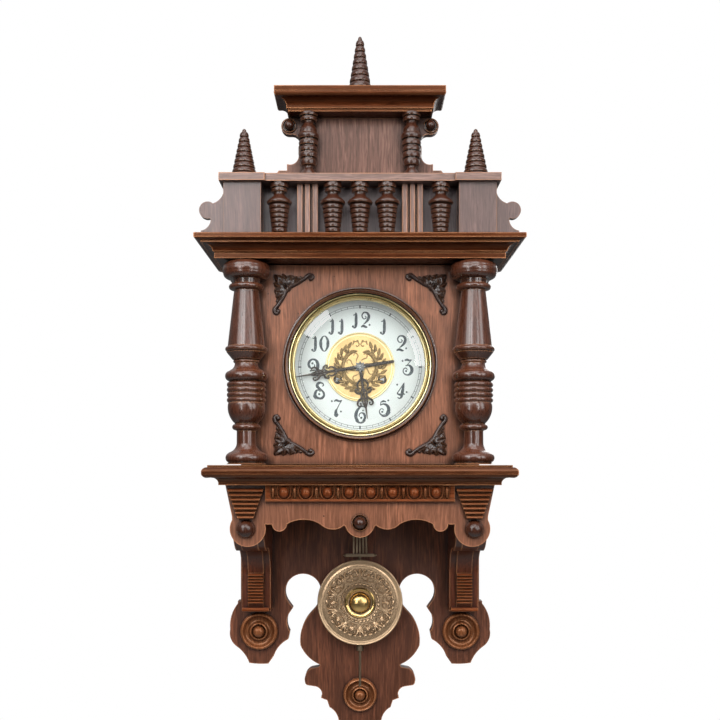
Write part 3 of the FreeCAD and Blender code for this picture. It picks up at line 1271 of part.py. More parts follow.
doc.recompute()
for item in doc.Objects:
    if any(state in ("Invalid", "Error") for state in item.State):
        raise RuntimeError(f"{item.Name} ({item.Label}) could not be worked out")
for item in parts:
    if item.Shape.isNull() or not item.Shape.isValid():
        raise RuntimeError(f"{item.Label} has no valid shape")
os.makedirs("parts", exist_ok=True)
for item in parts:
    item.Shape.exportStep(f"parts/{item.Label}.step")
print(f"{len(parts)} pieces written")
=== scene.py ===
import math

import bmesh
import bpy
from bpy.props import FloatProperty, FloatVectorProperty, IntProperty, PointerProperty
from bpy.types import Operator, Panel, PropertyGroup
from mathutils import Matrix, Vector


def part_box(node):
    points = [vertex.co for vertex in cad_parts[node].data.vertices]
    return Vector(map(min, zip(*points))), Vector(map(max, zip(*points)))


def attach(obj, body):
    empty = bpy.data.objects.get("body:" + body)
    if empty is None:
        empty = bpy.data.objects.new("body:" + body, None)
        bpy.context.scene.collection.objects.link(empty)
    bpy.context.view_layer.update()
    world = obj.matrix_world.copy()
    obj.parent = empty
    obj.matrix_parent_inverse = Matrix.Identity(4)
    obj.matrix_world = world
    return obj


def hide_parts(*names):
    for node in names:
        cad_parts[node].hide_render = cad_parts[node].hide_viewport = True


bl_info = {
    "name": "Carved wall clock",
    "version": (1, 0, 0),
    "blender": (4, 5, 0),
    "location": "3D View > Sidebar > Wall Clock",
    "description": "Finishes, carving, dial and studio for a wall clock with an open pendulum",
    "category": "Object",
}

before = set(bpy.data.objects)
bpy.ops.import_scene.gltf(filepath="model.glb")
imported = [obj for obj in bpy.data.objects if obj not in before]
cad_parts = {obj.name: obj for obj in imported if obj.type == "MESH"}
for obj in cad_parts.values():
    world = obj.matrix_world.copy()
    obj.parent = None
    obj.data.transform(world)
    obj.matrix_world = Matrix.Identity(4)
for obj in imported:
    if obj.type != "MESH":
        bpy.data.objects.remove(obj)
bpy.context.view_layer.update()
MM = 0.001
HERE = Matrix.Identity(4)

BRACKET_FACE = -0.0462  # front of the brackets' lower part
EGG_FACE = -0.1575      # ground of the egg moulding
HINGE_FACE = 0.1412     # outer side of the hinge leaves
SLOT_SCATTER = 9000     # degrees a metre, so that the slots of the screws stand at odd angles


def colour(name, default, description):
    return FloatVectorProperty(name=name, description=description, default=default, subtype="COLOR", min=0, max=1)


def clockwise(name, degrees):
    return FloatProperty(name=name, description="Clockwise from twelve", subtype="ANGLE",
                         default=math.radians(degrees))


def length(name, default, description):
    return FloatProperty(name=name, description=description, default=default, unit="LENGTH", min=0)


class ClockWoodSettings(PropertyGroup):
    panel: colour("Panel", (0.338, 0.130, 0.067), "Polish of the door")
    back: colour("Back board", (0.179, 0.057, 0.026), "Polish of the back board and case sides")
    gallery: colour("Gallery", (0.165, 0.094, 0.081), "Greyer polish of the gallery boards")
    attic: colour("Attic", (0.227, 0.119, 0.089), "Panel of the attic")
    # A lighter, greyer tone than the other boards: painted light on the panel behind the balusters
    shade: colour("Gallery Panel", (0.213, 0.170, 0.170), "Panel behind the balusters")
    moulding: colour("Moulding", (0.095, 0.021, 0.006), "Polish of shelf, cornice and brackets")
    rail: colour("Rail", (0.305, 0.187, 0.152), "Rubbed polish of the gallery rail and pilasters")
    turned: colour("Turnings", (0.114, 0.034, 0.016), "Polish of columns, balusters and spires")
    rosette: colour("Rosettes", (0.279, 0.095, 0.036), "Lighter polish of the rosettes")
    carved: colour("Carvings", (0.036, 0.015, 0.011), "Dark polish of the corner carvings")
    worn: colour("Worn edges", (0.662, 0.290, 0.131), "Wood showing at rubbed edges")


class ClockMetalSettings(PropertyGroup):
    brass: colour("Brass", (0.661, 0.448, 0.177), "Movement and hinges")
    bezel: colour("Bezel", (0.832, 0.681, 0.370), "Brass around the glass")
    gilt: colour("Gilding", (0.640, 0.440, 0.210), "Gilt dial centre")
    dull: colour("Pendulum rods", (0.248, 0.183, 0.124), "Dull brass of the pendulum rods")
    bob: colour("Bob", (0.620, 0.430, 0.265), "Old brass of the bob")
    dome: colour("Bob dome", (0.779, 0.519, 0.201), "Bright brass in the middle of the bob")
    steel: colour("Steel", (0.420, 0.420, 0.420), "Arbors, gong and hanger")
    hands: colour("Hands", (0.060, 0.050, 0.044), "Darkened steel of the hands")


class ClockDialSettings(PropertyGroup):
    enamel: colour("Enamel", (0.880, 0.910, 0.910), "Dial enamel")
    ink: colour("Ink", (0.030, 0.040, 0.050), "Printed numerals and minute track")
    numeral_radius: length("Numeral circle", 0.0570, "Radius of the circle of numerals")
    numeral_height: length("Numeral height", 0.0190, "Height of a numeral")
    track_radius: length("Minute track", 0.0735, "Outer radius of the minute track")


class ClockStageSettings(PropertyGroup):
    distance: length("Camera distance", 1.250, "Camera in front of the wall plane")
    lens: FloatProperty(name="Lens", description="Focal length in millimetres", default=47.1, min=10)
    shift: FloatProperty(name="Shift", description="Upward shift of the lens", default=0.146)
    floor_drop: length("Floor", 1.750, "Floor below the hanger")


# Outlines in writing

def drawn(text):
    """Lines of spots: a semicolon between lines, a comma between spots."""
    return [[tuple(float(part) for part in spot.split()) for spot in line.split(",")] for line in text.split(";")]


def spots(text):
    """A single line of spots."""
    return drawn(text)[0]


# Finishes

def toned(tone, share):
    """A tone made darker or lighter."""
    return tuple(min(1, part * share) for part in tone)


class Nodes:
    """Shader nodes of a material or of the surroundings."""

    def __init__(self, owner, kind):
        owner.use_nodes = True
        self.tree = owner.node_tree
        self.tree.nodes.clear()
        self.surface = self.tree.nodes.new("ShaderNodeOutput" + kind).inputs["Surface"]

    def fill(self, socket, value):
        """Link a socket to another one, or set it."""
        if isinstance(value, bpy.types.NodeSocket):
            self.tree.links.new(value, socket)
        else:
            socket.default_value = value

    def add(self, kind, inputs=None, output=0, **settings):
        """One output of a new node, with the node's inputs linked or set."""
        item = self.tree.nodes.new("ShaderNode" + kind)
        for key, value in settings.items():
            setattr(item, key, value)
        for key, value in (inputs or {}).items():
            self.fill(item.inputs[key], value)
        return item.outputs[output]

    def reckon(self, operation, *values):
        """Values worked out together."""
        return self.add("Math", dict(enumerate(values)), operation=operation)

    def spread(self, value, low, high, start, end):
        """A value from one range brought to another, held at its ends."""
        return self.add("MapRange", {"Value": value, "From Min": low, "From Max": high,
                                     "To Min": start, "To Max": end})

    def rays(self, first, *others):
        """1 for rays of these kinds, 0 for all others."""
        share = self.add("LightPath", output=f"Is {first} Ray")
        path = share.node.outputs
        for kind in others:
            share = self.reckon("MAXIMUM", share, path[f"Is {kind} Ray"])
        return share


class Finish(Nodes):
    """A new material for some of the frame's pieces, its colour laid on coat by coat."""

    def __init__(self, name, tone, nodes=""):
        self.material = bpy.data.materials.new(name + "_finish")
        super().__init__(self.material, "Material")
        self.main = self.add("BsdfPrincipled").node
        self.fill(self.surface, self.main.outputs["BSDF"])
        self.place = self.add("TexCoord", output="Object")
        self.tone = tone
        self.colour = (*tone, 1)
        for node in nodes.split():
            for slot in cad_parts[node].material_slots:
                slot.material = self.material

    def noise(self, scale, detail, place=None, output="Fac", **more):
        """A cloudy pattern, finer with a larger scale."""
        vector = self.place if place is None else place
        return self.add("TexNoise", {"Vector": vector, "Scale": scale, "Detail": detail, **more}, output)

    def ramp(self, value, stops):
        """Begin with colours along a value."""
        self.colour = self.add("ValToRGB", {"Fac": value})
        bands = self.colour.node.color_ramp.elements
        while len(bands) < len(stops):
            bands.new(0.5)
        for band, (place, tone) in zip(bands, stops):
            band.position = place
            band.color = (*tone, 1)

    def coat(self, share, tone):
        """Another tone over the colour so far, by a share."""
        self.colour = self.add("Mix", {0: share, 6: self.colour, 7: (*tone, 1)}, 2, data_type="RGBA")

    def veil(self, value, low, high, start, end, change):
        """A coat of the own tone, made darker or lighter, as a value goes from low to high."""
        self.coat(self.spread(value, low, high, start, end), toned(self.tone, change))

    def rubbed(self, radius):
        """How far a spot lies on an outer edge, 0 to 1."""
        soft = self.add("Bevel", {"Radius": radius}, samples=4)
        flat = self.add("NewGeometry", output="Normal")
        both = self.add("VectorMath", {0: soft, 1: flat}, "Value", operation="DOT_PRODUCT")
        return self.spread(self.reckon("ABSOLUTE", both), 0.995, 0.86, 0, 1)

    def sheltered(self, reach):
        """How far a spot lies in a recess, 0 to 1."""
        shade = self.add("AmbientOcclusion", {"Distance": reach}, "AO", samples=6)
        return self.spread(shade, 0.88, 0.35, 0, 1)

    def bump(self, height, strength, depth):
        """Small unevenness of the surface."""
        return self.add("Bump", {"Height": height, "Strength": strength, "Distance": depth})

    def feed(self, inputs):
        """Give the main shader the colour and its other inputs."""
        for key, value in {"Base Color": self.colour, **inputs}.items():
            self.fill(self.main.inputs[key], value)


def stretched(along, share):
    """Scales that draw a pattern out along one direction."""
    return tuple(share if axis == along else 1 for axis in "XYZ")


def polished_wood(name, tone, worn, nodes, along="Z", figure=0.8, rough=0.34, coat=0.15, recess=0.012,
                  gloss=0.36, worm=0, shine=(1, 1, 1)):
    """Old polished walnut: streaks and pores along the grain and rubbed edges, with painted shade in recesses and
    under downward faces and a painted top light, partly dust, on upward faces.
    """
    wood = Finish(name, tone, nodes)
    sway = wood.noise(9, 2, output="Color")
    bent = wood.add("VectorMath", {0: sway, 1: (0.01, 0.01, 0.01)}, operation="MULTIPLY")
    curved = wood.add("VectorMath", {0: wood.place, 1: bent}, operation="ADD")
    grain = wood.add("Mapping", {"Vector": curved, "Scale": stretched(along, 0.06)})
    longer = wood.add("Mapping", {"Vector": grain, "Scale": stretched(along, 0.3)})
    bands = wood.noise(55, 5, grain, Roughness=0.6, Distortion=0.5)
    fibre = wood.noise(520, 4, grain, Roughness=0.65)
    pores = wood.noise(950, 2, grain)
    veins = wood.noise(95, 3, longer)
    cloud = wood.noise(14, 3)
    streaks = wood.reckon("MULTIPLY_ADD", bands, fibre, wood.spread(fibre, 0.3, 0.7, 0.02, 0.28))
    wood.ramp(streaks, [(place, toned(tone, 1 + figure * change)) for place, change in spots(
        "0.30 -0.5, 0.47 -0.13, 0.56 0.11, 0.70 0.5")])
    wood.veil(veins, 0.6, 0.7, 0, 0.5 * figure, 0.35)
    wood.veil(cloud, 0.35, 0.7, 0, 0.45, 0.55)
    wood.veil(pores, 0.62, 0.72, 0, 0.55, 0.15)
    if worm:
        holes = wood.add("TexVoronoi", {"Vector": wood.place, "Scale": 55})
        wood.veil(holes, 0.045, 0.055, worm, 0, 0.05)
    facing = wood.add("SeparateXYZ", {"Vector": wood.add("NewGeometry", output="Normal")}, "Z")
    # Upward faces made lighter in cloudy patches: a painted top light, partly dust
    painted_top_light_and_dust = wood.spread(facing, 0.1, 0.75, 0, 0.45)
    wood.coat(wood.reckon("MULTIPLY", painted_top_light_and_dust, wood.spread(cloud, 0.3, 0.6, 0.4, 1)), toned(tone, 1.6))
    # Downward faces darkened towards a quarter of the tone: painted shade under the mouldings
    wood.veil(facing, -0.1, -0.65, 0, 0.75, 0.25)
    edge = wood.rubbed(0.0021)
    wood.coat(wood.reckon("MULTIPLY", edge, wood.spread(cloud, 0.38, 0.6, 0.45, 1)), worn)
    # Recesses darkened nearly to black: painted shade, with some grime
    wood.veil(wood.sheltered(recess), 0, 0.85, 0, 0.96, 0.06)
    wood.feed({"Roughness": wood.spread(fibre, 0.3, 0.7, rough - 0.08, rough + 0.14),
               "Normal": wood.bump(fibre, 0.25, 0.0004), "Specular IOR Level": gloss,
               "Specular Tint": (*shine, 1), "Coat Weight": coat, "Coat Roughness": 0.18})


def old_metal(name, tone, nodes="", rough=0.3, tarnish=0.35, bump=0.08, recess=0.004, pits=1400):
    """Metal with cloudy tarnish, darker recesses and fine scratches."""
    metal = Finish(name, tone, nodes)
    cloud = metal.noise(60, 5, Roughness=0.6)
    metal.veil(cloud, 0.4, 0.7, 0, tarnish, 0.4)
    metal.veil(metal.sheltered(recess), 0, 0.8, 0, 0.95, 0.12)
    metal.coat(metal.rubbed(0.0006), toned(tone, 1.5))
    metal.feed({"Roughness": metal.spread(cloud, 0.3, 0.7, rough - 0.08, rough + 0.16), "Metallic": 1,
                "Normal": metal.bump(metal.noise(pits, 2), bump, 0.0003)})


def fired_enamel(name, tone, nodes):
    """White enamel with a faint cloud, tiny specks and a hard gloss."""
    enamel = Finish(name, tone, nodes)
    cloud = enamel.noise(25, 4)
    enamel.veil(cloud, 0.35, 0.7, 0, 0.3, 0.88)
    enamel.veil(enamel.noise(900, 1), 0.74, 0.8, 0, 0.35, 0.45)
    enamel.feed({"Roughness": enamel.spread(cloud, 0.3, 0.7, 0.12, 0.22),
                 "Normal": enamel.bump(cloud, 0.05, 0.0005)})


def printed_ink(name, tone):
    """Printed ink, worn a little thin."""
    ink = Finish(name, tone)
    thin = ink.noise(700, 3)
    ink.coat(ink.spread(thin, 0.5, 0.72, 0, 0.5), (0.22, 0.25, 0.27))
    ink.feed({"Roughness": ink.spread(thin, 0.3, 0.7, 0.35, 0.55)})


def clear_glass(name, nodes):
    """Clear glass that lets the light of the lamps through to the dial."""
    glass = Finish(name, (0.97, 0.99, 0.98), nodes)
    glass.feed({"Roughness": glass.spread(glass.noise(30, 3), 0.4, 0.75, 0, 0.03),
                "Transmission Weight": 1, "IOR": 1.45})
    through = glass.add("BsdfTransparent", {"Color": (0.96, 0.98, 0.97, 1)})
    mix = glass.add("MixShader", {0: glass.rays("Shadow", "Diffuse"), 1: glass.main.outputs["BSDF"], 2: through})
    glass.fill(glass.surface, mix)


# Shapes, drawn in millimetres on a face: x to the right, y up, z out of the face

def middle(node):
    low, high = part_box(node)
    return (low + high) / 2


def front(node):
    """The middle of a piece's front."""
    centre = middle(node)
    return Vector((centre.x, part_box(node)[0].y, centre.z))


def sides(box):
    """Width, depth and height of a box in millimetres."""
    low, high = box
    return Vector([(end - start) / MM for start, end in zip(low, high)])


def polar(reach, angle):
    """A spot on a clock face, its angle clockwise from twelve."""
    return reach * math.sin(angle), reach * math.cos(angle)


def mirrored(lines):
    """Lines of (x, y, half width) and the same lines on the other side."""
    return lines + [[(-x, y, half) for x, y, half in line] for line in lines]


def turned_by(degrees):
    return Matrix.Rotation(math.radians(degrees), 4, "Z")


def around(count):
    """Even steps around a circle."""
    return [turned_by(360 * index / count) for index in range(count)]


def everything(bm):
    return bm.verts[:] + bm.edges[:] + bm.faces[:]


def spin_round(bm, outline, steps=96, closed=True):
    """A turned ring or dome from its outline of (radius, height out)."""
    rim = [bm.verts.new((radius, 0, out)) for radius, out in outline]
    pairs = list(zip(rim, rim[1:])) + ([(rim[-1], rim[0])] if closed else [])
    edges = [bm.edges.new(pair) for pair in pairs]
    bmesh.ops.spin(bm, geom=rim + edges, cent=(0, 0, 0), axis=(0, 0, 1), dvec=(0, 0, 0),
                   angle=2 * math.pi, steps=steps, use_merge=True, use_duplicate=False)
    return bm


def washer(bm, inner, outer, low, high, steps):
    """A flat ring."""
    spin_round(bm, [(inner, low), (outer, low), (outer, high), (inner, high)], steps)


def ball(bm, x, y, radius, flat=1, fineness=2):
    place = Matrix.Translation((x, y, 0)) @ Matrix.Diagonal((1, 1, flat, 1))
    bmesh.ops.create_icosphere(bm, subdivisions=fineness, radius=radius, matrix=place)


def leaf(bm, start, end, width, lift, bend=0, groove=0.35):
    """A carved leaf from its stalk to its tip, domed, with a groove down the middle."""
    run = Vector(end) - Vector(start)
    fresh = bmesh.ops.create_uvsphere(bm, u_segments=12, v_segments=9, radius=1,
                                      matrix=Matrix.Rotation(math.pi / 2, 4, "Y"))
    turn = Matrix.Translation((*start, 0)) @ Matrix.Rotation(math.atan2(run.y, run.x), 4, "Z")
    for spot in fresh["verts"]:
        x, y, z = spot.co
        along = (x + 1) / 2
        taper = 1.3 - 0.75 * along
        crease = 1 - groove * math.exp(-(y / 0.22) ** 2)
        rise = max(z, -0.1) * lift * crease * (0.75 + 0.5 * along)
        spot.co = turn @ Vector((along * run.length, y * width / 2 * taper + bend * along * along, rise))


def strokes(lines, flat, fineness=2):
    """Round strokes along smooth lines of (x, y, half width), pressed flat; closed where a line ends at its start."""
    curve = bpy.data.curves.new("strokes", "CURVE")
    curve.dimensions = "3D"
    curve.bevel_depth = 1
    curve.bevel_resolution = fineness
    curve.resolution_u = 6
    curve.use_fill_caps = True
    for line in lines:
        closed = line[0] == line[-1]
        path = line[:-1] if closed else line
        spline = curve.splines.new("BEZIER")
        spline.bezier_points.add(len(path) - 1)
        spline.use_cyclic_u = closed
        for point, (x, y, half) in zip(spline.bezier_points, path):
            point.handle_left_type = point.handle_right_type = "AUTO"
            point.radius = half
            point.co = (x, y, 0)
    carrier = bpy.data.objects.new("strokes", curve)
    bpy.context.scene.collection.objects.link(carrier)
    mesh = bpy.data.meshes.new_from_object(carrier.evaluated_get(bpy.context.evaluated_depsgraph_get()))
    bm = bmesh.new()
    bm.from_mesh(mesh)
    bpy.data.objects.remove(carrier)
    bpy.data.curves.remove(curve)
    bpy.data.meshes.remove(mesh)
    bmesh.ops.scale(bm, vec=(1, 1, flat), verts=bm.verts)
    return bm


def join(bm, source, places=(HERE,)):
    """A small shape brought into a larger one, at one place or many."""
    for place in places:
        fresh = source.copy()
        bmesh.ops.transform(fresh, matrix=place, verts=fresh.verts)
        carry = bpy.data.meshes.new("copy")
        fresh.to_mesh(carry)
        fresh.free()
        bm.from_mesh(carry)
        bpy.data.meshes.remove(carry)
    source.free()


def settle(bm, place):
    """From millimetres on a face to metres in front of the wall."""
    upright = Matrix.Translation(place) @ Matrix.Rotation(math.pi / 2, 4, "X") @ Matrix.Scale(MM, 4)
    bmesh.ops.transform(bm, matrix=upright, verts=bm.verts)
    return bm


def piece(name, bm, body, look, stands_for=(), sharp=35):
    """A finished piece that moves with its body."""
    bmesh.ops.remove_doubles(bm, verts=bm.verts, dist=2e-6)
    bmesh.ops.recalc_face_normals(bm, faces=bm.faces)
    mesh = bpy.data.meshes.new(name)
    bm.to_mesh(mesh)
    bm.free()
    mesh.shade_smooth()
    mesh.set_sharp_from_angle(angle=math.radians(sharp))
    mesh.materials.append(bpy.data.materials[look + "_finish"])
    item = bpy.data.objects.new(name, mesh)
    bpy.context.scene.collection.objects.link(item)
    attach(item, body)
    if stands_for:
        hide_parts(*stands_for)


def drawn_out(outline, run):
    """A moulding: its outline drawn out along a run."""
    bm = bmesh.new()
    face = bm.faces.new([bm.verts.new(spot) for spot in outline])
    grown = bmesh.ops.extrude_face_region(bm, geom=[face])["geom"]
    bmesh.ops.translate(bm, vec=run, verts=[item for item in grown if isinstance(item, bmesh.types.BMVert)])
    return bm


def reeds(count, pitch, groove, proud, half):
    """A strip of half-round reeds, one above the other, across its whole width."""
    outline = [(-half, 0, 0)]
    for index in range(count):
        outline += [(-half, index * pitch + pitch * share, groove + (proud - groove) * rise) for share, rise in spots(
            "0.05 0, 0.13 0.55, 0.26 0.88, 0.45 1, 0.64 0.88, 0.78 0.55, 0.86 0")]
    outline.append((-half, count * pitch, 0))
    return drawn_out(outline, (half * 2, 0, 0))


def solids(node):
    """The boxes of the separate solids in one of the frame's pieces."""
    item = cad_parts[node]
    bm = bmesh.new()
    bm.from_mesh(item.data)
    bm.transform(item.matrix_world)
    bmesh.ops.remove_doubles(bm, verts=bm.verts, dist=1e-6)
    waiting = set(bm.verts)
    boxes = []
    while waiting:
        trail = [waiting.pop()]
        for spot in trail:
            near = [edge.other_vert(spot) for edge in spot.link_edges]
            fresh = [other for other in near if other in waiting]
            waiting.difference_update(fresh)
            trail += fresh
        ends = [[pick(spot.co[axis] for spot in trail) for axis in range(3)] for pick in (min, max)]
        boxes.append(tuple(Vector(end) for end in ends))
    bm.free()
    return sorted(boxes, key=lambda box: (box[0].x, box[0].z))


def turned(bm, outline, box, upright):
    """A turned piece where the frame has its plain one: standing, or lying on the face behind it."""
    low, high = box
    size, centre = sides(box), (low + high) / 2
    long = size.z if upright else size.y
    reach = max(radius for radius, height in outline)
    top = max(height for radius, height in outline)
    fitted = [(radius / reach * size.x / 2, height / top * long) for radius, height in outline]
    source = spin_round(bmesh.new(), fitted, steps=48 if upright else 64, closed=False)
    if upright:
        join(bm, source, [Matrix.Translation((centre.x, centre.y, low.z)) @ Matrix.Scale(MM, 4)])
    else:
        join(bm, settle(source, (centre.x, high.y, centre.z)))


# Steps of the work

AMBER = (1, 0.46, 0.22)  # tint of the shine on the reddest polish

# Woods: tone in the settings and its share, share of the worn tone, pieces, and what differs from plain polish
WOODS = {
    "walnut_panel": ("panel", 1, 1, "door_panel apron_board", dict(figure=0.95, worm=0.9)),
    "walnut_back": ("back", 1, 1, "back_board case_side_right case_side_left", dict(figure=1.1, rough=0.42)),
    "walnut_gallery": ("gallery", 1, 0.45, "gallery_ends", dict(rough=0.38, gloss=0.6)),
    # Lighter and greyer, with a short recess reach: painted light on the panel behind the balusters
    "walnut_shade": ("shade", 1, 1, "gallery_panel", dict(figure=0.5, rough=0.42, recess=0.006)),
    "walnut_attic": ("attic", 1, 1, "attic_panel", dict(figure=1, rough=0.4, gloss=0.15)),
    "walnut_rail": ("rail", 1, 1, "gallery_rail", dict(along="X", rough=0.36, gloss=0.4)),
    "walnut_fluted": ("rail", 1, 1, "gallery_pilasters", dict(recess=0.004)),
    "walnut_moulding": ("moulding", 1, 1, "cornice attic_cornice",
                        dict(along="X", figure=0.9, rough=0.26, coat=0.05, gloss=0.3, shine=AMBER)),
    "walnut_shelf": ("moulding", 0.7, 1, "shelf", dict(along="X", figure=0.9, rough=0.26, gloss=0.7, shine=AMBER)),
    "walnut_upright": ("moulding", 1.5, 1, "bracket_right bracket_left corner_carvings",
                       dict(figure=0.9, rough=0.32, recess=0.005)),
    "walnut_ring": ("moulding", 0.45, 0.4, "door_ring", dict(figure=0.7, rough=0.22, coat=0.6, recess=0.006)),
    "walnut_carvers": ("moulding", 2.2, 0.5, "egg_moulding reeded_blocks",
                       dict(along="X", rough=0.28, coat=0.1, recess=0.004, gloss=0.7, shine=AMBER)),
    "walnut_turned": ("turned", 1, 1, "balusters spires attic_columns column_right column_left turned_bosses",
                      dict(rough=0.26, coat=0.9, recess=0.006)),
    "walnut_ringed": ("turned", 0.6, 0.4, "", dict(rough=0.3, coat=0.6, recess=0.004)),
    "walnut_button": ("turned", 0.6, 0.6, "", dict(figure=0.6, rough=0.22, coat=0.4, recess=0.005)),
    "walnut_carved": ("carved", 1, 0.14, "", dict(figure=0.7, rough=0.28, coat=0.5)),
    "walnut_rosette": ("rosette", 1, 1, "rosettes", dict(figure=0.9, rough=0.24, coat=0.2, gloss=0.9, shine=AMBER)),
}


class CLOCK_OT_wood(Operator):
    """Polish every wooden piece"""
    bl_idname = "clock.wood"
    bl_label = "Polish the Wood"

    def execute(self, context):
        tones = context.scene.clock_wood
        for name, (tone, share, wear, nodes, polish) in WOODS.items():
            polished_wood(name, toned(getattr(tones, tone), share), toned(tones.worn, wear), nodes, **polish)
        return {"FINISHED"}


class CLOCK_OT_metal(Operator):
    """Finish the metal, enamel and glass pieces"""
    bl_idname = "clock.metal"
    bl_label = "Finish Metal, Enamel and Glass"

    def execute(self, context):
        tones = context.scene.clock_metal
        dial = context.scene.clock_dial
        old_metal("movement_brass", tones.brass,
                  "hinge_case_leaves hinge_door_leaves back_plate front_plate going_barrel strike_barrel "
                  "minute_wheel hour_wheel third_wheel escape_wheel pin_wheel suspension_cock", rough=0.32)
        old_metal("bezel_brass", tones.bezel, "bezel", tarnish=0.1, bump=0.02)
        old_metal("aged_gilt", toned(tones.gilt, 0.42), rough=0.5, tarnish=0.4, bump=0.2, recess=0.0016)
        old_metal("gilding", tones.gilt, "dial_centre", rough=0.46, tarnish=0.25, bump=0.3, recess=0.0016)
        old_metal("bob_brass", tones.bob, "pendulum_bob", rough=0.38, tarnish=0.3, bump=0.22, pits=700)
        old_metal("dull_brass", tones.dull, "pendulum_crossbars pendulum_rods rating_nut", rough=0.42)
        old_metal("dome_brass", tones.dome, rough=0.2, tarnish=0.25)
        old_metal("polished_steel", tones.steel,
                  "hanger_plate plate_pillars centre_arbor cannon_pinion going_winding_arbor strike_winding_arbor "
                  "anchor suspension_spring gong_coil hammer", rough=0.28, tarnish=0.3)
        old_metal("grey_steel", toned(tones.steel, 0.45), rough=0.4, tarnish=0.5)
        old_metal("dark_steel", tones.hands, "minute_hand hour_hand", rough=0.38, tarnish=0.3)
        old_metal("black_iron", (0.06, 0.06, 0.06), "movement_brackets gong_block", rough=0.5)
        fired_enamel("dial_enamel", dial.enamel, "dial_plate")
        printed_ink("dial_ink", dial.ink)
        clear_glass("door_glass", "door_glass")
        return {"FINISHED"}


# Numerals, each in a box 100 high: lines of x, y and half width. A line of one spot is a dot.

DIGITS = {digit: drawn(text) for digit, text in {
    "0": "50 98 2.5, 22 80 6, 14 50 9, 24 18 6, 50 2 2.5, 76 20 6, 86 50 9, 78 82 6, 50 98 2.5",
    "1": "52 100 2, 55 86 7, 55 50 8.5, 53 18 8, 42 2 5, 24 5 2.5; 55 97 3, 40 84 3, 26 82 3; 24 10 7",
    "2": "50 76 3, 61 69 3, 47 58 3, 24 68 3.5, 26 90 4, 54 100 4.5, 86 84 7.5, 82 58 8.5, 58 36 5, 36 24 2.5;"
         "10 6 3, 34 13 7.5, 60 6 6, 74 5 3; 96 20 6",
    "3": "26 92 3, 46 97 6.5, 70 93 5.5, 88 97 2.5; 88 97 2.5, 66 78 2.5, 48 62 2.5;"
         "34 58 2.5, 62 62 5, 90 40 9.5, 82 12 8.5, 50 0 4, 20 12 3.5, 16 34 3, 36 44 3, 52 34 2.5;"
         "8 90 6; 40 25 6.5",
    "4": "78 100 2.5, 70 72 7, 62 40 9, 54 12 7, 36 0 3.5, 20 8 3; 76 98 2.5, 48 66 2.8, 16 33 3;"
         "14 31 3, 40 24 6.5, 66 30 5, 86 26 2.5; 16 88 6; 100 40 6",
    "5": "24 86 3, 46 92 6, 70 88 3; 20 66 2.5, 24 86 3;"
         "20 66 2.5, 50 74 4.5, 88 56 9, 88 24 9.5, 56 2 5, 20 10 4, 14 34 3, 34 44 2.8, 50 34 2.5;"
         "90 97 6; 36 24 6.5",
    "6": "92 92 2.5, 66 100 3.5, 34 84 6.5, 12 50 10, 18 16 8.5, 50 0 4.5, 86 16 7, 88 44 7, 62 58 3.5, 40 46 3,"
         "42 32 2.5; 58 26 7; 74 73 5.5",
    "7": "24 90 3, 46 98 6.5, 70 92 5.5, 94 98 2.5;"
         "94 98 2.5, 72 72 2.5, 54 46 3, 42 28 7.5, 46 8 10.5, 60 0 6; 6 92 6; 86 26 6",
    "8": "72 76 2.8, 84 86 3.5, 66 99 4.5, 38 96 7.5, 28 80 9, 46 64 7, 70 50 5, 88 30 6, 78 6 7, 46 0 6,"
         "14 14 8.5, 14 40 7.5, 36 54 4, 58 42 2.8; 46 27 6.5",
}.items()}
DIGITS["9"] = [[(100 - x, 100 - y, half) for x, y, half in line] for line in DIGITS["6"]]


class CLOCK_OT_dial_print(Operator):
    """Print the numerals and the minute track on the enamel"""
    bl_idname = "clock.dial_print"
    bl_label = "Print the Dial"

    def execute(self, context):
        dial = context.scene.clock_dial
        face = front("dial_plate")
        tall = dial.numeral_height / MM
        inked = []
        for hour in range(1, 13):
            text = str(hour)
            step = tall * (0.6 if len(text) > 1 else 0.68)
            across, up = polar(dial.numeral_radius / MM, math.radians(30 * hour))
            foot = up - tall / 2
            for index, digit in enumerate(text):
                left = across + step * (index - len(text) / 2)
                for line in DIGITS[digit]:
                    bold = tall * (1.12 if len(line) > 1 else 1.05)
                    inked.append([(left + x / 100 * step * 1.06, foot + y / 100 * tall, half / 100 * bold)
                                  for x, y, half in line])
        bm = strokes([line for line in inked if len(line) > 1], flat=0.04)
        for line in inked:
            if len(line) == 1:
                ball(bm, *line[0], flat=0.04)
        piece("dial_numerals", settle(bm, face), "case", "dial_ink")

        track = bmesh.new()
        outer = dial.track_radius / MM
        inner = outer - 2.6
        for radius in (outer, inner):
            washer(track, radius - 0.22, radius + 0.22, -0.02, 0.05, 120)
        for minute in range(60):
            wide, high = (0.45, 2.6) if minute % 5 else (1.6, 4)
            place = turned_by(-6 * minute) @ Matrix.Translation((0, (outer + inner) / 2, 0.01))
            bmesh.ops.create_cube(track, size=1, matrix=place @ Matrix.Diagonal((wide, high, 0.1, 1)))
        piece("minute_track", settle(track, face), "case", "dial_ink")
        return {"FINISHED"}


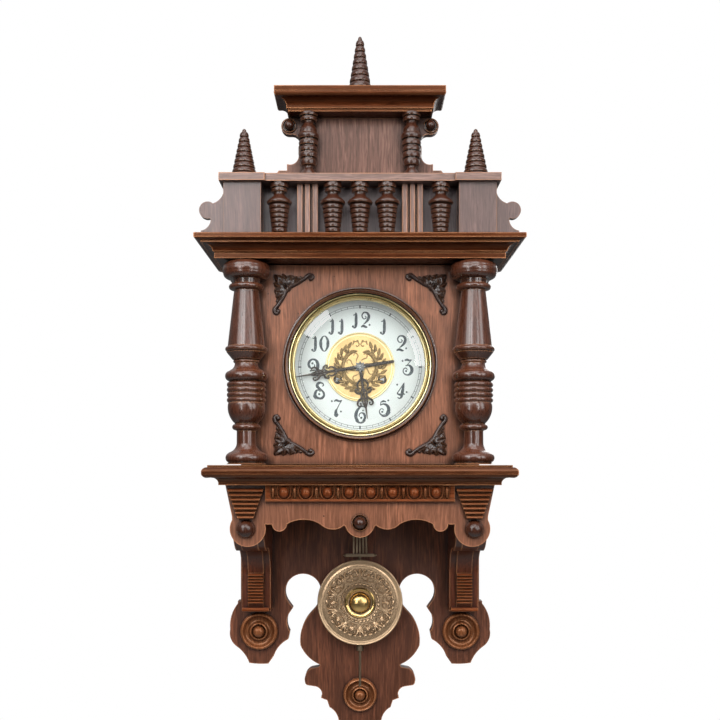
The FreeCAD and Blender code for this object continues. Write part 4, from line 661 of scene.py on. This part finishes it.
class CLOCK_OT_dial_gilding(Operator):
    """Emboss the gilt centre with a wreath and rim, and set the winding holes"""
    bl_idname = "clock.dial_gilding"
    bl_label = "Emboss the Dial Centre"

    def execute(self, context):
        face = front("dial_centre")
        radius = sides(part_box("dial_centre")).x / 2
        rim = bmesh.new()
        for reach, high in ((radius - 0.8, 0.9), (radius - 3.4, 0.45)):
            ridge = ((-0.8, -0.3), (0.8, -0.3), (0.55, high * 0.7), (0, high), (-0.55, high * 0.7))
            spin_round(rim, [(reach + x, out) for x, out in ridge], steps=120)
        piece("gilt_rim", settle(rim, face), "case", "bezel_brass")

        stem = [(*polar(24 + 3 * math.sin(step * 0.8), math.radians(200 - 20 * step)), 0.55) for step in range(9)]
        lines = [stem]
        for x, y, size in ((4, 27, 5), (5, -29, 4.5)):
            lines.append([(x + size * (1 - turn / 9) * math.cos(turn * 0.8),
                           y + size * (1 - turn / 9) * math.sin(turn * 0.8), 0.7) for turn in range(8)])
        lines = mirrored(lines)
        sway = spots("8 -0.22 0.5, 11 0.05 0.7, 14.5 0.22 0.7, 17.5 0.05 0.6, 16 -0.12 0.5")
        for spoke in range(8):
            turn = math.radians(45 * spoke + 22.5)
            lines.append([(*polar(reach, turn + swing), half) for reach, swing, half in sway])
        wreath = strokes(lines, flat=0.8)
        for side in (1, -1):
            for step in range(14):
                angle = math.radians(196 - 12.5 * step)
                for bank, reach, tilt, span in ((1, 22.5, 34, 9.4), (-1, 26.5, -34, 9.4), (0, 24.5, 0, 6.4)):
                    if bank == 0 and step % 2:
                        continue
                    x, y = polar(reach, angle)
                    run, rise = polar(span, angle - math.radians(90 + tilt))
                    leaf(wreath, (side * x, y), (side * (x + run), y + rise), 3.7, 1.7, bend=0.8 * bank)
            ball(wreath, side * 3.2, 31.5, 1.5, flat=0.6)
            ball(wreath, side * 7.4, 31, 1.2, flat=0.6)
        ball(wreath, 0, -27.5, 2, flat=0.6)
        piece("gilt_wreath", settle(wreath, face), "case", "aged_gilt")

        collets = bmesh.new()
        for name in ("going_winding_arbor", "strike_winding_arbor"):
            hole = middle(name)
            ring = spin_round(bmesh.new(), spots("3.6 -1.2, 5.2 -0.2, 5.2 0.5, 4.6 0.9, 3.9 0.7, 3.6 0"), steps=40)
            join(collets, ring, [Matrix.Translation(((hole.x - face.x) / MM, (hole.z - face.z) / MM, 0))])
        piece("winding_collets", settle(collets, face), "case", "dark_steel")
        return {"FINISHED"}


# Scrolls on one side of a hand: shares of half its width and of the leaf's length, and the half width
HAND_SCROLLS = drawn("0 -0.22 1, 0.45 -0.1 1, 0.72 0.1 0.9, 0.5 0.22 0.7;"
                     "0.66 0.3 0.6, 0.98 0.24 0.9, 0.9 0.4 1.1, 0.36 0.48 1.1, 0.4 0.62 1, 0.92 0.8 1.1, 1 0.96 0.9,"
                     "0.66 1 0.7, 0.6 0.88 0.5;"
                     "0.36 0.55 0.8, 0.3 0.85 0.8, 0 1.12 0.8")


def hand_shape(tip, tail, low, high, wide):
    """A pierced hand pointing up: stem, open scrolled leaf from low to high and fine tip."""
    span = high - low
    mid = low + span * 0.5
    ring_top = (0, mid + span * 0.22, 0.7)
    lines = [
        [(0, -tail, 1.5), (0, -tail * 0.5, 1.8), (0, 0, 2.2), (0, low * 0.5, 1.7), (0, low, 1.4), (0, mid, 1.1)],
        [(0, mid, 1.1), (0, high, 1), (0, high + (tip - high) * 0.4, 0.85), (0, tip, 0.35)],
        [ring_top, (wide * 0.2, mid, 0.8), (0, mid - span * 0.22, 0.7), (-wide * 0.2, mid, 0.8), ring_top],
    ]
    lines += mirrored([[(x * wide / 2, low + span * y, half) for x, y, half in line] for line in HAND_SCROLLS])
    bm = strokes([[(x, y, half * 1.15) for x, y, half in line] for line in lines], flat=0.34)
    for side in (1, -1):
        ball(bm, side * wide * 0.33, low + span * 0.27, 1.1, flat=0.5)
        ball(bm, side * wide * 0.31, high - span * 0.1, 1.1, flat=0.5)
    return bm


class CLOCK_OT_hands(Operator):
    """Pierced hands, the hub and its pin"""
    bl_idname = "clock.hands"
    bl_label = "Make the Hands"

    minute_angle: clockwise("Minute hand", 261)
    hour_angle: clockwise("Hour hand", 171.75)

    def execute(self, context):
        centre = middle("dial_centre")
        minute = hand_shape(77.5, 40, 33, 58, 15)
        for step in range(9):
            ball(minute, 0, -8 - 4 * step, 2.4 - 0.06 * step, flat=0.4)
        washer(minute, 2, 3.2, -0.5, 0.5, 32)
        hour = hand_shape(63.5, 0, 20, 47, 18)
        washer(hour, 3.3, 5, -0.5, 0.5, 32)
        for name, bm, body, node, angle in (
                ("pierced_minute_hand", minute, "minute", "minute_hand", self.minute_angle),
                ("pierced_hour_hand", hour, "hour", "hour_hand", self.hour_angle)):
            bmesh.ops.rotate(bm, cent=(0, 0, 0), matrix=Matrix.Rotation(-angle, 3, "Z"), verts=bm.verts)
            settle(bm, (centre.x, middle(node).y, centre.z))
            piece(name, bm, body, "dark_steel", (node,))

        hub = spin_round(bmesh.new(), spots("2.1 0, 4.4 0, 4.6 0.35, 4 1, 2.6 1.5, 2.1 1.5"), steps=40)
        for petal in range(8):
            turn = math.radians(45 * petal)
            leaf(hub, polar(1.5, turn), polar(7, turn), 3.4, 0.5)
        pin = Matrix.Translation((0, 0, 1.7)) @ turned_by(20) @ Matrix.Diagonal((6, 0.9, 0.9, 1))
        bmesh.ops.create_cube(hub, size=1, matrix=pin)
        settle(hub, (centre.x, front("minute_hand").y, centre.z))
        piece("hand_hub", hub, "minute", "grey_steel")
        return {"FINISHED"}


class CLOCK_OT_bezel(Operator):
    """Brass bezel with two beads around the glass"""
    bl_idname = "clock.bezel"
    bl_label = "Turn the Bezel"

    def execute(self, context):
        centre = middle("door_glass")
        low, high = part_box("bezel")
        outer = sides((low, high)).x / 2
        back, lip = -high.y / MM, -low.y / MM
        glass = -front("door_glass").y / MM
        wall = (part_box("door_glass")[1].x - centre.x) / MM + 0.05
        beads = spots("0 2.2, 0.3 0.9, 1.1 0.1, 2 0.4, 2.5 1.6, 2.9 2.4, 3.3 1.5, 4.2 0.9, 5 1.7, 5.4 2.9, 5.8 2.7,"
                      "6.4 2.9, 6.9 3.6")
        outline = [(wall, back), (outer, back)] + [(outer - cut, lip - drop) for cut, drop in beads]
        outline += [(outer - 7, glass + 0.9), (outer - 7, glass + 0.02), (wall, glass + 0.02)]
        bm = spin_round(bmesh.new(), outline, steps=160)
        piece("beaded_bezel", settle(bm, (centre.x, 0, centre.z)), "door", "bezel_brass", ("bezel",))
        return {"FINISHED"}


BALUSTER = (spots("8.4 0, 9.2 0.6, 9.2 4.4, 7.4 5")
            + [(8.4 + ring * 0.62 + cut, 5 + ring * 5.5 + rise) for ring in range(7) for cut, rise in spots(
                "-1.5 0.2, -0.2 0.8, 0.1 2, 0.2 3.4, -0.1 4.6, -1.4 5.3")]
            + spots("11.6 44, 14.2 44.4, 14.8 45.4, 14.8 46.8, 14 48, 9.6 51.4, 6.8 54.2, 6.2 56.8, 6.6 57.9,"
                    "9.2 58.2, 9.9 59.6, 9.3 61.6, 8 62, 8 63.2, 10.4 63.6, 11 65.4, 10.5 67.6, 10.4 69"))
ATTIC_COLUMN = spots(
    "9.6 0, 10.2 1, 10.2 8, 9.4 9.6, 8.4 12, 5.6 15.2, 5 18, 5.6 19, 8.6 19.6, 10 22.4, 9.4 26, 8 26.8, 8 28.2,"
    "10.4 28.8, 11.4 31.8, 10.6 34.4, 8.6 35, 8.6 36.2, 10.2 36.8, 10.9 39.4, 10.2 41.4, 8.8 42, 8.8 43.2, 11.2 43.8,"
    "11.9 46.4, 11.2 48.8, 9.6 49.4, 9.6 50.6, 12.2 51.2, 13.2 53.4, 13.2 55.8, 12 57.4, 10.8 58, 10.6 61, 9.2 65,"
    "6.8 68, 5.8 70.5, 6 72.4, 9.6 72.9, 10.6 75, 9.8 76.9, 8.2 77.3, 8.2 78.2, 10.6 78.7, 11.2 80.4, 11 82")
SPIRE = ([(1 - 0.081 * ring + cut, 0.104 * (ring + rise)) for ring in range(9) for cut, rise in spots(
            "-0.1 0.02, -0.01 0.1, 0 0.28, -0.03 0.6, -0.09 0.86, -0.19 0.96")]
         + spots("0.17 0.95, 0.13 0.98, 0.06 0.995, 0 1"))
ROSETTE = spots(
    "24.6 0, 24.6 2.5, 24.2 5, 23 6.7, 21.6 7.2, 20.4 6.6, 19.6 5, 18.2 3.2, 15.8 2.2, 13.6 2.3, 12.4 3.4, 11.9 5.4,"
    "11.2 6.8, 10 7.2, 8.9 6.4, 8.2 5, 7.6 4.8, 7.4 6.5, 7.1 8.6, 6.3 10.6, 4.8 12.1, 2.6 12.8, 0 13")
BUTTON = spots("11 0, 11 1.2, 10.6 2, 10.2 3.6, 9.3 6.4, 7.6 9.2, 5.2 11.1, 2.6 11.9, 0 12")
RINGED_BUTTON = spots("10.1 0, 10.1 1.8, 9.6 2.8, 9 2.9, 8.4 2.2, 7.7 1.2, 7.1 1.2, 6.9 4, 6.3 6.8, 4.8 9.4,"
                      "2.6 10.8, 0 11.2")
LARGE_BUTTON = 21  # buttons wider than this are plain, smaller ones ringed


class CLOCK_OT_turnings(Operator):
    """Spires, balusters, attic columns, rosettes and buttons with their cut rings"""
    bl_idname = "clock.turnings"
    bl_label = "Turn the Ornament"

    def execute(self, context):
        for name, node, finish, look, outline, upright in (
                ("ringed_spires", "spires", "walnut_turned", "walnut_ringed", SPIRE, True),
                ("ringed_balusters", "balusters", "walnut_turned", "walnut_ringed", BALUSTER, True),
                ("ringed_attic_columns", "attic_columns", "walnut_turned", "walnut_ringed", ATTIC_COLUMN, True),
                ("coved_rosettes", "rosettes", "rosette_wood", "walnut_rosette", ROSETTE, False),
                ("turned_buttons", "turned_bosses", "walnut_turned", "walnut_button", BUTTON, False)):
            bm = bmesh.new()
            for box in solids(node):
                ringed = outline is BUTTON and sides(box).x <= LARGE_BUTTON
                turned(bm, RINGED_BUTTON if ringed else outline, box, upright)
            piece(name, bm, "case", look, (node,), sharp=50)
        return {"FINISHED"}


class CLOCK_OT_fluting(Operator):
    """Fluted pilasters, reeded blocks and the reeds and feet of the brackets"""
    bl_idname = "clock.fluting"
    bl_label = "Flute and Reed"

    def execute(self, context):
        bm = bmesh.new()
        flute = spots("-1.7 0, -1.4 2.6, -0.7 3.8, 0.7 3.8, 1.4 2.6, 1.7 0")
        for low, high in solids("gallery_pilasters"):
            wide, deep, tall = sides((low, high))
            half = wide / 2
            plan = [(-half, 0, 0), (-half, 0, deep - 0.6), (-half + 0.6, 0, deep)]
            for place in (-half * 0.36, half * 0.36):
                plan += [(place + x, 0, deep - cut) for x, cut in flute]
            plan += [(half - 0.6, 0, deep), (half, 0, deep - 0.6), (half, 0, 0)]
            join(bm, settle(drawn_out(plan, (0, tall, 0)), ((low.x + high.x) / 2, high.y, low.z)))
        piece("fluted_pilasters", bm, "case", "walnut_fluted", ("gallery_pilasters",))

        bm = bmesh.new()
        for low, high in solids("reeded_blocks"):
            wide, deep, tall = sides((low, high))
            half = wide / 2
            foot = half * 0.395
            wedge = reeds(7, tall / 7, 3.4, deep, half)
            for side in (1, -1):
                cut = bmesh.ops.bisect_plane(wedge, geom=everything(wedge), plane_co=(side * foot, 0, 0),
                                             plane_no=(side * tall, foot - half, 0), clear_outer=True)["geom_cut"]
                bmesh.ops.holes_fill(wedge, edges=[item for item in cut if isinstance(item, bmesh.types.BMEdge)])
            join(bm, settle(wedge, ((low.x + high.x) / 2, high.y, low.z)))
        piece("reeded_wedges", bm, "case", "walnut_carvers", ("reeded_blocks",))

        bm = bmesh.new()
        lip = spots("0 0, 0 4.6, 0.8 5.8, 2.4 6.3, 4 5.8, 4.8 4.6, 4.8 0")
        for node in ("bracket_right", "bracket_left"):
            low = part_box(node)[0]
            strap = reeds(10, 3.9, 3, 5.4, 9.8)
            foot = drawn_out([(-17, y, out) for y, out in lip], (34, 0, 0))
            for source, rise in ((strap, 10), (foot, 0.4)):
                join(bm, settle(source, (middle(node).x, BRACKET_FACE, low.z + rise * MM)))
        piece("bracket_reeds", bm, "case", "walnut_carvers")
        return {"FINISHED"}


class CLOCK_OT_carvings(Operator):
    """Four carved corner leaves on the door"""
    bl_idname = "clock.carvings"
    bl_label = "Carve the Corners"

    def execute(self, context):
        strap = spots("-45 -7 1.9, -47.2 -3.6 2.3, -43.5 -1.6 2.6, -37 -6 2.4, -28 -11.5 2.6, -17.5 -17.5 2.9,"
                      "-11.5 -28 2.6, -6 -37 2.4, -1.6 -43.5 2.6, -3.6 -47.2 2.3, -7 -45 1.9")
        corner = strokes([strap], flat=1.1, fineness=3)
        for x, y in ((-44.5, -6), (-6, -44.5)):
            ball(corner, x, y, 2.9, flat=1.1, fineness=3)
        heart = (-16.5, -16.5)
        leaf(corner, heart, (-1, -1), 14.5, 4.8, groove=0.5)
        for x, y, width, lift, bend in spots("-10 -0.4 11 4.4 1.5, -19 -0.8 12 4.6 2, -28 -2.4 12 4.2 1,"
                                             "-35.5 -4.4 7.5 3.4 0.5"):
            leaf(corner, heart, (x, y), width, lift, bend=bend, groove=0.5)
            leaf(corner, heart, (y, x), width, lift, bend=-bend, groove=0.5)
        for x, y, size in spots("-13.5 -3.2 2.6, -23 -4.6 2.8, -32.5 -5 2.2"):
            ball(corner, x, y, size)
            ball(corner, y, x, size)
        leaf(corner, (-20.5, -20.5), (-9.5, -9.5), 7, 5.6, groove=0.6)
        centre = middle("corner_carvings")
        size = sides(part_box("corner_carvings"))
        place = Matrix.Translation((size.x / 2, size.z / 2, 0))
        bm = bmesh.new()
        join(bm, corner, [Matrix.Diagonal((x, z, 1, 1)) @ place for x in (1, -1) for z in (1, -1)])
        settle(bm, (centre.x, front("door_panel").y, centre.z))
        piece("leaf_carvings", bm, "door", "walnut_carved", ("corner_carvings",), sharp=60)
        return {"FINISHED"}


class CLOCK_OT_egg_darts(Operator):
    """Carved rims and darts between the eggs of the apron moulding"""
    bl_idname = "clock.egg_darts"
    bl_label = "Carve the Egg Moulding"

    eggs: IntProperty(name="Eggs", description="Eggs along the moulding", default=8, min=1)

    def execute(self, context):
        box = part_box("egg_moulding")
        size = sides(box)
        gap = size.x / (self.eggs + 0.73)
        rim = drawn("-7.6 7.6 1, -8 1 1.1, -6 -5.6 1.1, 0 -8.4 1.1, 6 -5.6 1.1, 8 1 1.1, 7.6 7.6 1")
        edges = mirrored(drawn("2.9 7.8 0.7, 2.8 0 0.7, 1.8 -7 0.6"))
        between = [gap * (index - self.eggs / 2) for index in range(self.eggs + 1)]
        lines = [[(place + x, y, half) for x, y, half in line]
                 for shape, places in ((rim, [place + gap / 2 for place in between[:-1]]), (edges, between))
                 for place in places for line in shape]
        bm = strokes(lines, flat=1.6)
        darts = bmesh.new()
        for x in between:
            leaf(darts, (x, 8), (x, -7.6), 4.4, 3.2, groove=0.4)
        join(bm, darts)
        settle(bm, (0, EGG_FACE, box[0].z + size.z * 0.56 * MM))
        piece("egg_rims", bm, "case", "walnut_carvers", sharp=60)
        return {"FINISHED"}


class CLOCK_OT_bob(Operator):
    """Embossed scrolls, rolled rim and bright dome of the bob"""
    bl_idname = "clock.bob"
    bl_label = "Emboss the Bob"

    motifs: IntProperty(name="Motifs", description="Scroll motifs around the bob", default=10, min=3)

    def execute(self, context):
        low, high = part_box("pendulum_bob")
        centre = (low + high) / 2
        size = sides((low, high))
        radius = size.x / 2
        share = radius / 60
        half = size.y / 1.6
        plane = -high.y / MM + half * 0.6
        volute = []
        for step in range(11):
            turn = step * 0.62 + 2.6
            reach = 6.4 * (1 - step / 12.5)
            volute.append((7.2 + reach * math.cos(turn), 41.5 + reach * math.sin(turn), 0.95 - 0.045 * step))
        curl = spots("1.6 36 0.7, 4.6 32 0.8, 8.6 30.2 0.8, 11.2 32.6 0.7, 9.8 34.6 0.6")
        motif = strokes(mirrored([volute, curl]), flat=1.5)
        leaf(motif, (0, 33), (0, 48), 5.6, 2.2, groove=0.5)
        for side in (1, -1):
            leaf(motif, (side * 1.4, 36), (side * 6, 47.5), 4, 1.9, bend=-side, groove=0.4)
            leaf(motif, (side * 9, 34), (side * 13.8, 40), 3.4, 1.7, bend=side * 0.8, groove=0.4)
            leaf(motif, (side * 11, 46), (side * 15.5, 43), 3.4, 1.7, groove=0.4)
            ball(motif, side * 7.4, 41.3, 1.5, flat=0.8)
            ball(motif, side * 13.8, 36, 1, flat=0.8, fineness=1)
        ball(motif, 0, 29.5, 1.4, flat=0.8)
        bm = bmesh.new()
        join(bm, motif, [turn @ Matrix.Scale(share, 4) for turn in around(self.motifs)])
        for count, reach, run, width, lift in ((40, 45.6, 4.4, 3, 1.5), (30, 25.6, 4, 2.8, 1.3)):
            spray = bmesh.new()
            leaf(spray, (-run / 2, reach * share), (run / 2, (reach + 2) * share), width, lift, bend=-0.6,
                 groove=0.4)
            join(bm, spray, around(count))
        for count, reach, size in ((72, 51.6, 0.75), (40, 24, 0.7)):
            bead = bmesh.new()
            ball(bead, 0, reach * share, size, fineness=1)
            join(bm, bead, around(count))
        settle(bm, (centre.x, -(plane + half * 0.68) * MM, centre.z))
        piece("bob_relief", bm, "pendulum", "bob_brass", sharp=60)

        ground = (centre.x, -plane * MM, centre.z)
        rim = spots("3.2 2.2, 0.2 1.6, 0.1 3, 0.5 4, 1.4 4.4, 2.4 4.1, 2.9 3.4, 3.6 3.6, 4.2 3.9, 4.9 3.6, 5.2 2.6")
        bm = spin_round(bmesh.new(), [(radius - cut, out) for cut, out in rim], steps=140)
        piece("bob_rim", settle(bm, ground), "pendulum", "bob_brass")

        dome = spots("19.8 4, 19.3 5.6, 18 6.4, 16.4 6.2, 15 5, 13.4 4.4, 12.8 5.2, 12.4 6.8, 11.2 8.8, 9 10.6,"
                     "6.2 11.8, 3 12.5, 0 12.7")
        bm = spin_round(bmesh.new(), dome, closed=False)
        piece("bob_dome", settle(bm, ground), "pendulum", "dome_brass")

        ends = bmesh.new()
        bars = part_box("pendulum_crossbars")
        reach = sides(bars).x / 2
        for side in (1, -1):
            ball(ends, side * reach, 0, 2.3, fineness=3)
            ball(ends, side * (reach + 2.4), 0, 1.1)
        settle(ends, (0, middle("pendulum_rods").y, bars[0].z + 1.75 * MM))
        piece("crossbar_ends", ends, "pendulum", "dull_brass")
        return {"FINISHED"}


def slotted_screw(radius, high):
    """A domed screw head with its slot."""
    dome = [(radius, 0), (radius * 0.96, high * 0.5), (radius * 0.7, high * 0.9), (0, high)]
    bm = spin_round(bmesh.new(), dome, steps=20, closed=False)
    for side in (1, -1):
        bmesh.ops.bisect_plane(bm, geom=everything(bm), plane_co=(side * radius * 0.14, 0, 0), plane_no=(1, 0, 0))
    for spot in bm.verts:
        if abs(spot.co.x) < radius * 0.12:
            spot.co.z -= high * 0.6
    return bm


class CLOCK_OT_screws(Operator):
    """Screws of the hinges and the hanger plate"""
    bl_idname = "clock.screws"
    bl_label = "Set the Screws"

    def execute(self, context):
        bm = bmesh.new()
        corners = enumerate((x, y) for x in (16, -16) for y in (-8, 14))
        join(bm, slotted_screw(2.6, 0.12),
             [Matrix.Translation((x, y, 0)) @ turned_by(40 + 37 * index) for index, (x, y) in corners])
        to_back = Matrix.Rotation(-math.pi / 2, 4, "X") @ Matrix.Scale(MM, 4)
        bmesh.ops.transform(bm, matrix=to_back, verts=bm.verts)
        piece("hanger_screws", bm, "case", "polished_steel")

        sideways = Matrix.Rotation(math.pi / 2, 4, "Y") @ Matrix.Scale(MM, 4)
        for name, node, body in (("case_hinge_screws", "hinge_case_leaves", "case"),
                                 ("door_hinge_screws", "hinge_door_leaves", "door")):
            places = []
            for low, high in solids(node):
                depth = low.y + 0.008 if body == "door" else high.y - 0.007
                for height in (low.z + 0.0046, low.z + 0.0132):
                    places.append(Matrix.Translation((HINGE_FACE, depth, height)) @ sideways
                                  @ turned_by(height * SLOT_SCATTER))
            bm = bmesh.new()
            join(bm, slotted_screw(1.9, 0.5), places)
            piece(name, bm, body, "movement_brass")
        return {"FINISHED"}


# Lamps of the studio: name, place, width and height, power
LAMPS = (
    ("key_light", (-1.05, -1.35, 0.80), (0.9, 1.2), 13),
    ("left_window", (-0.42, -1.72, 0.48), (0.30, 0.34), 3.5),
    ("right_window", (0.53, -1.72, 0.20), (0.20, 0.32), 2),
    ("back_light", (0.40, 1.60, 0.50), (1.4, 1.0), 9),
    ("fill_light", (1.25, -1.15, 0.20), (0.5, 1.2), 7.5),
    ("left_strip", (-0.70, -1.42, -0.02), (0.2, 1.0), 5),
    ("right_strip", (0.70, -1.42, 0.00), (0.2, 0.9), 4.5),
    ("front_light", (0.20, -1.70, 1.10), (1.1, 0.9), 12.5),
    ("top_light", (0.1, -0.7, 1.4), (1.2, 0.7), 6.5),
)
LAMP_TARGET = Vector((0, -0.08, -0.15))


class CLOCK_OT_stage(Operator):
    """Floor, studio light, background and camera"""
    bl_idname = "clock.stage"
    bl_label = "Set the Studio"

    def execute(self, context):
        stage = context.scene.clock_stage
        scene = context.scene
        scene.view_settings.view_transform = "Standard"
        sheet = bmesh.new()
        bmesh.ops.create_grid(sheet, x_segments=1, y_segments=1, size=9.0,
                              matrix=Matrix.Translation((0, -6.0, -stage.floor_drop)))
        mesh = bpy.data.meshes.new("floor")
        sheet.to_mesh(mesh)
        sheet.free()
        floor = bpy.data.objects.new("floor", mesh)
        scene.collection.objects.link(floor)
        paper = Finish("floor_white", (1, 1, 1))
        paper.ramp(paper.noise(2.0, 2.0), ((0.3, (0.78, 0.78, 0.77)), (0.7, (0.84, 0.84, 0.83))))
        glow = paper.spread(paper.rays("Camera", "Transmission"), 0.0, 1.0, 0.0, 0.82)
        paper.feed({"Roughness": 0.8, "Emission Color": (0.95, 0.95, 0.94, 1), "Emission Strength": glow})
        mesh.materials.append(paper.material)

        scene.world = bpy.data.worlds.new("studio")
        room = Nodes(scene.world, "World")
        heading = room.add("SeparateXYZ", {"Vector": room.add("TexCoord", output="Generated")}).node.outputs
        behind = room.spread(heading["Y"], -0.25, 0.35, 0.0, 0.12)
        overhead = room.spread(heading["Z"], 0.0, 0.9, 0.03, 0.6)
        walls = room.reckon("MAXIMUM", behind, overhead)
        glow = room.reckon("MAXIMUM", room.rays("Camera", "Transmission"), walls)
        white = room.add("Background", {"Color": (1, 1, 1, 1), "Strength": glow})
        soft = room.add("Background", {"Color": (1.0, 0.98, 0.96, 1), "Strength": 0.06})
        mix = room.add("MixShader", {0: room.rays("Camera", "Transmission", "Glossy"), 1: soft, 2: white})
        room.fill(room.surface, mix)

        for name, place, size, power in LAMPS:
            lamp = bpy.data.lights.new(name, "AREA")
            lamp.shape = "RECTANGLE"
            lamp.size, lamp.size_y = size
            lamp.energy = power
            item = bpy.data.objects.new(name, lamp)
            item.location = place
            item.rotation_euler = (LAMP_TARGET - Vector(place)).to_track_quat("-Z", "Y").to_euler()
            scene.collection.objects.link(item)

        lens = bpy.data.cameras.new("camera")
        lens.lens = stage.lens
        lens.sensor_width = 36.0
        lens.shift_y = stage.shift
        camera = bpy.data.objects.new("camera", lens)
        camera.location = (0.0, -stage.distance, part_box("shelf")[1].z)
        camera.rotation_euler = (math.pi / 2, 0, 0)
        scene.collection.objects.link(camera)
        scene.camera = camera
        return {"FINISHED"}


STEPS = (CLOCK_OT_wood, CLOCK_OT_metal, CLOCK_OT_dial_print, CLOCK_OT_dial_gilding, CLOCK_OT_hands, CLOCK_OT_bezel,
         CLOCK_OT_turnings, CLOCK_OT_fluting, CLOCK_OT_carvings, CLOCK_OT_egg_darts, CLOCK_OT_bob, CLOCK_OT_screws,
         CLOCK_OT_stage)
SETTINGS = (("clock_wood", ClockWoodSettings), ("clock_metal", ClockMetalSettings),
            ("clock_dial", ClockDialSettings), ("clock_stage", ClockStageSettings))


class CLOCK_PT_panel(Panel):
    """The clock's sizes, colours and steps"""
    bl_idname = "CLOCK_PT_panel"
    bl_label = "Wall Clock"
    bl_space_type = "VIEW_3D"
    bl_region_type = "UI"
    bl_category = "Wall Clock"

    def draw(self, context):
        for name, kind in SETTINGS:
            settings = getattr(context.scene, name)
            for key in kind.__annotations__:
                self.layout.prop(settings, key)
        for step in STEPS:
            self.layout.operator(step.bl_idname)


CLASSES = tuple(kind for name, kind in SETTINGS) + STEPS + (CLOCK_PT_panel,)


def register():
    for kind in CLASSES:
        bpy.utils.register_class(kind)
    for name, kind in SETTINGS:
        setattr(bpy.types.Scene, name, PointerProperty(type=kind))


def unregister():
    for name, kind in SETTINGS:
        delattr(bpy.types.Scene, name)
    for kind in reversed(CLASSES):
        bpy.utils.unregister_class(kind)


def main():
    register()
    for step in STEPS:
        getattr(bpy.ops.clock, step.bl_idname.split(".")[1])()


if __name__ == "__main__":
    main()
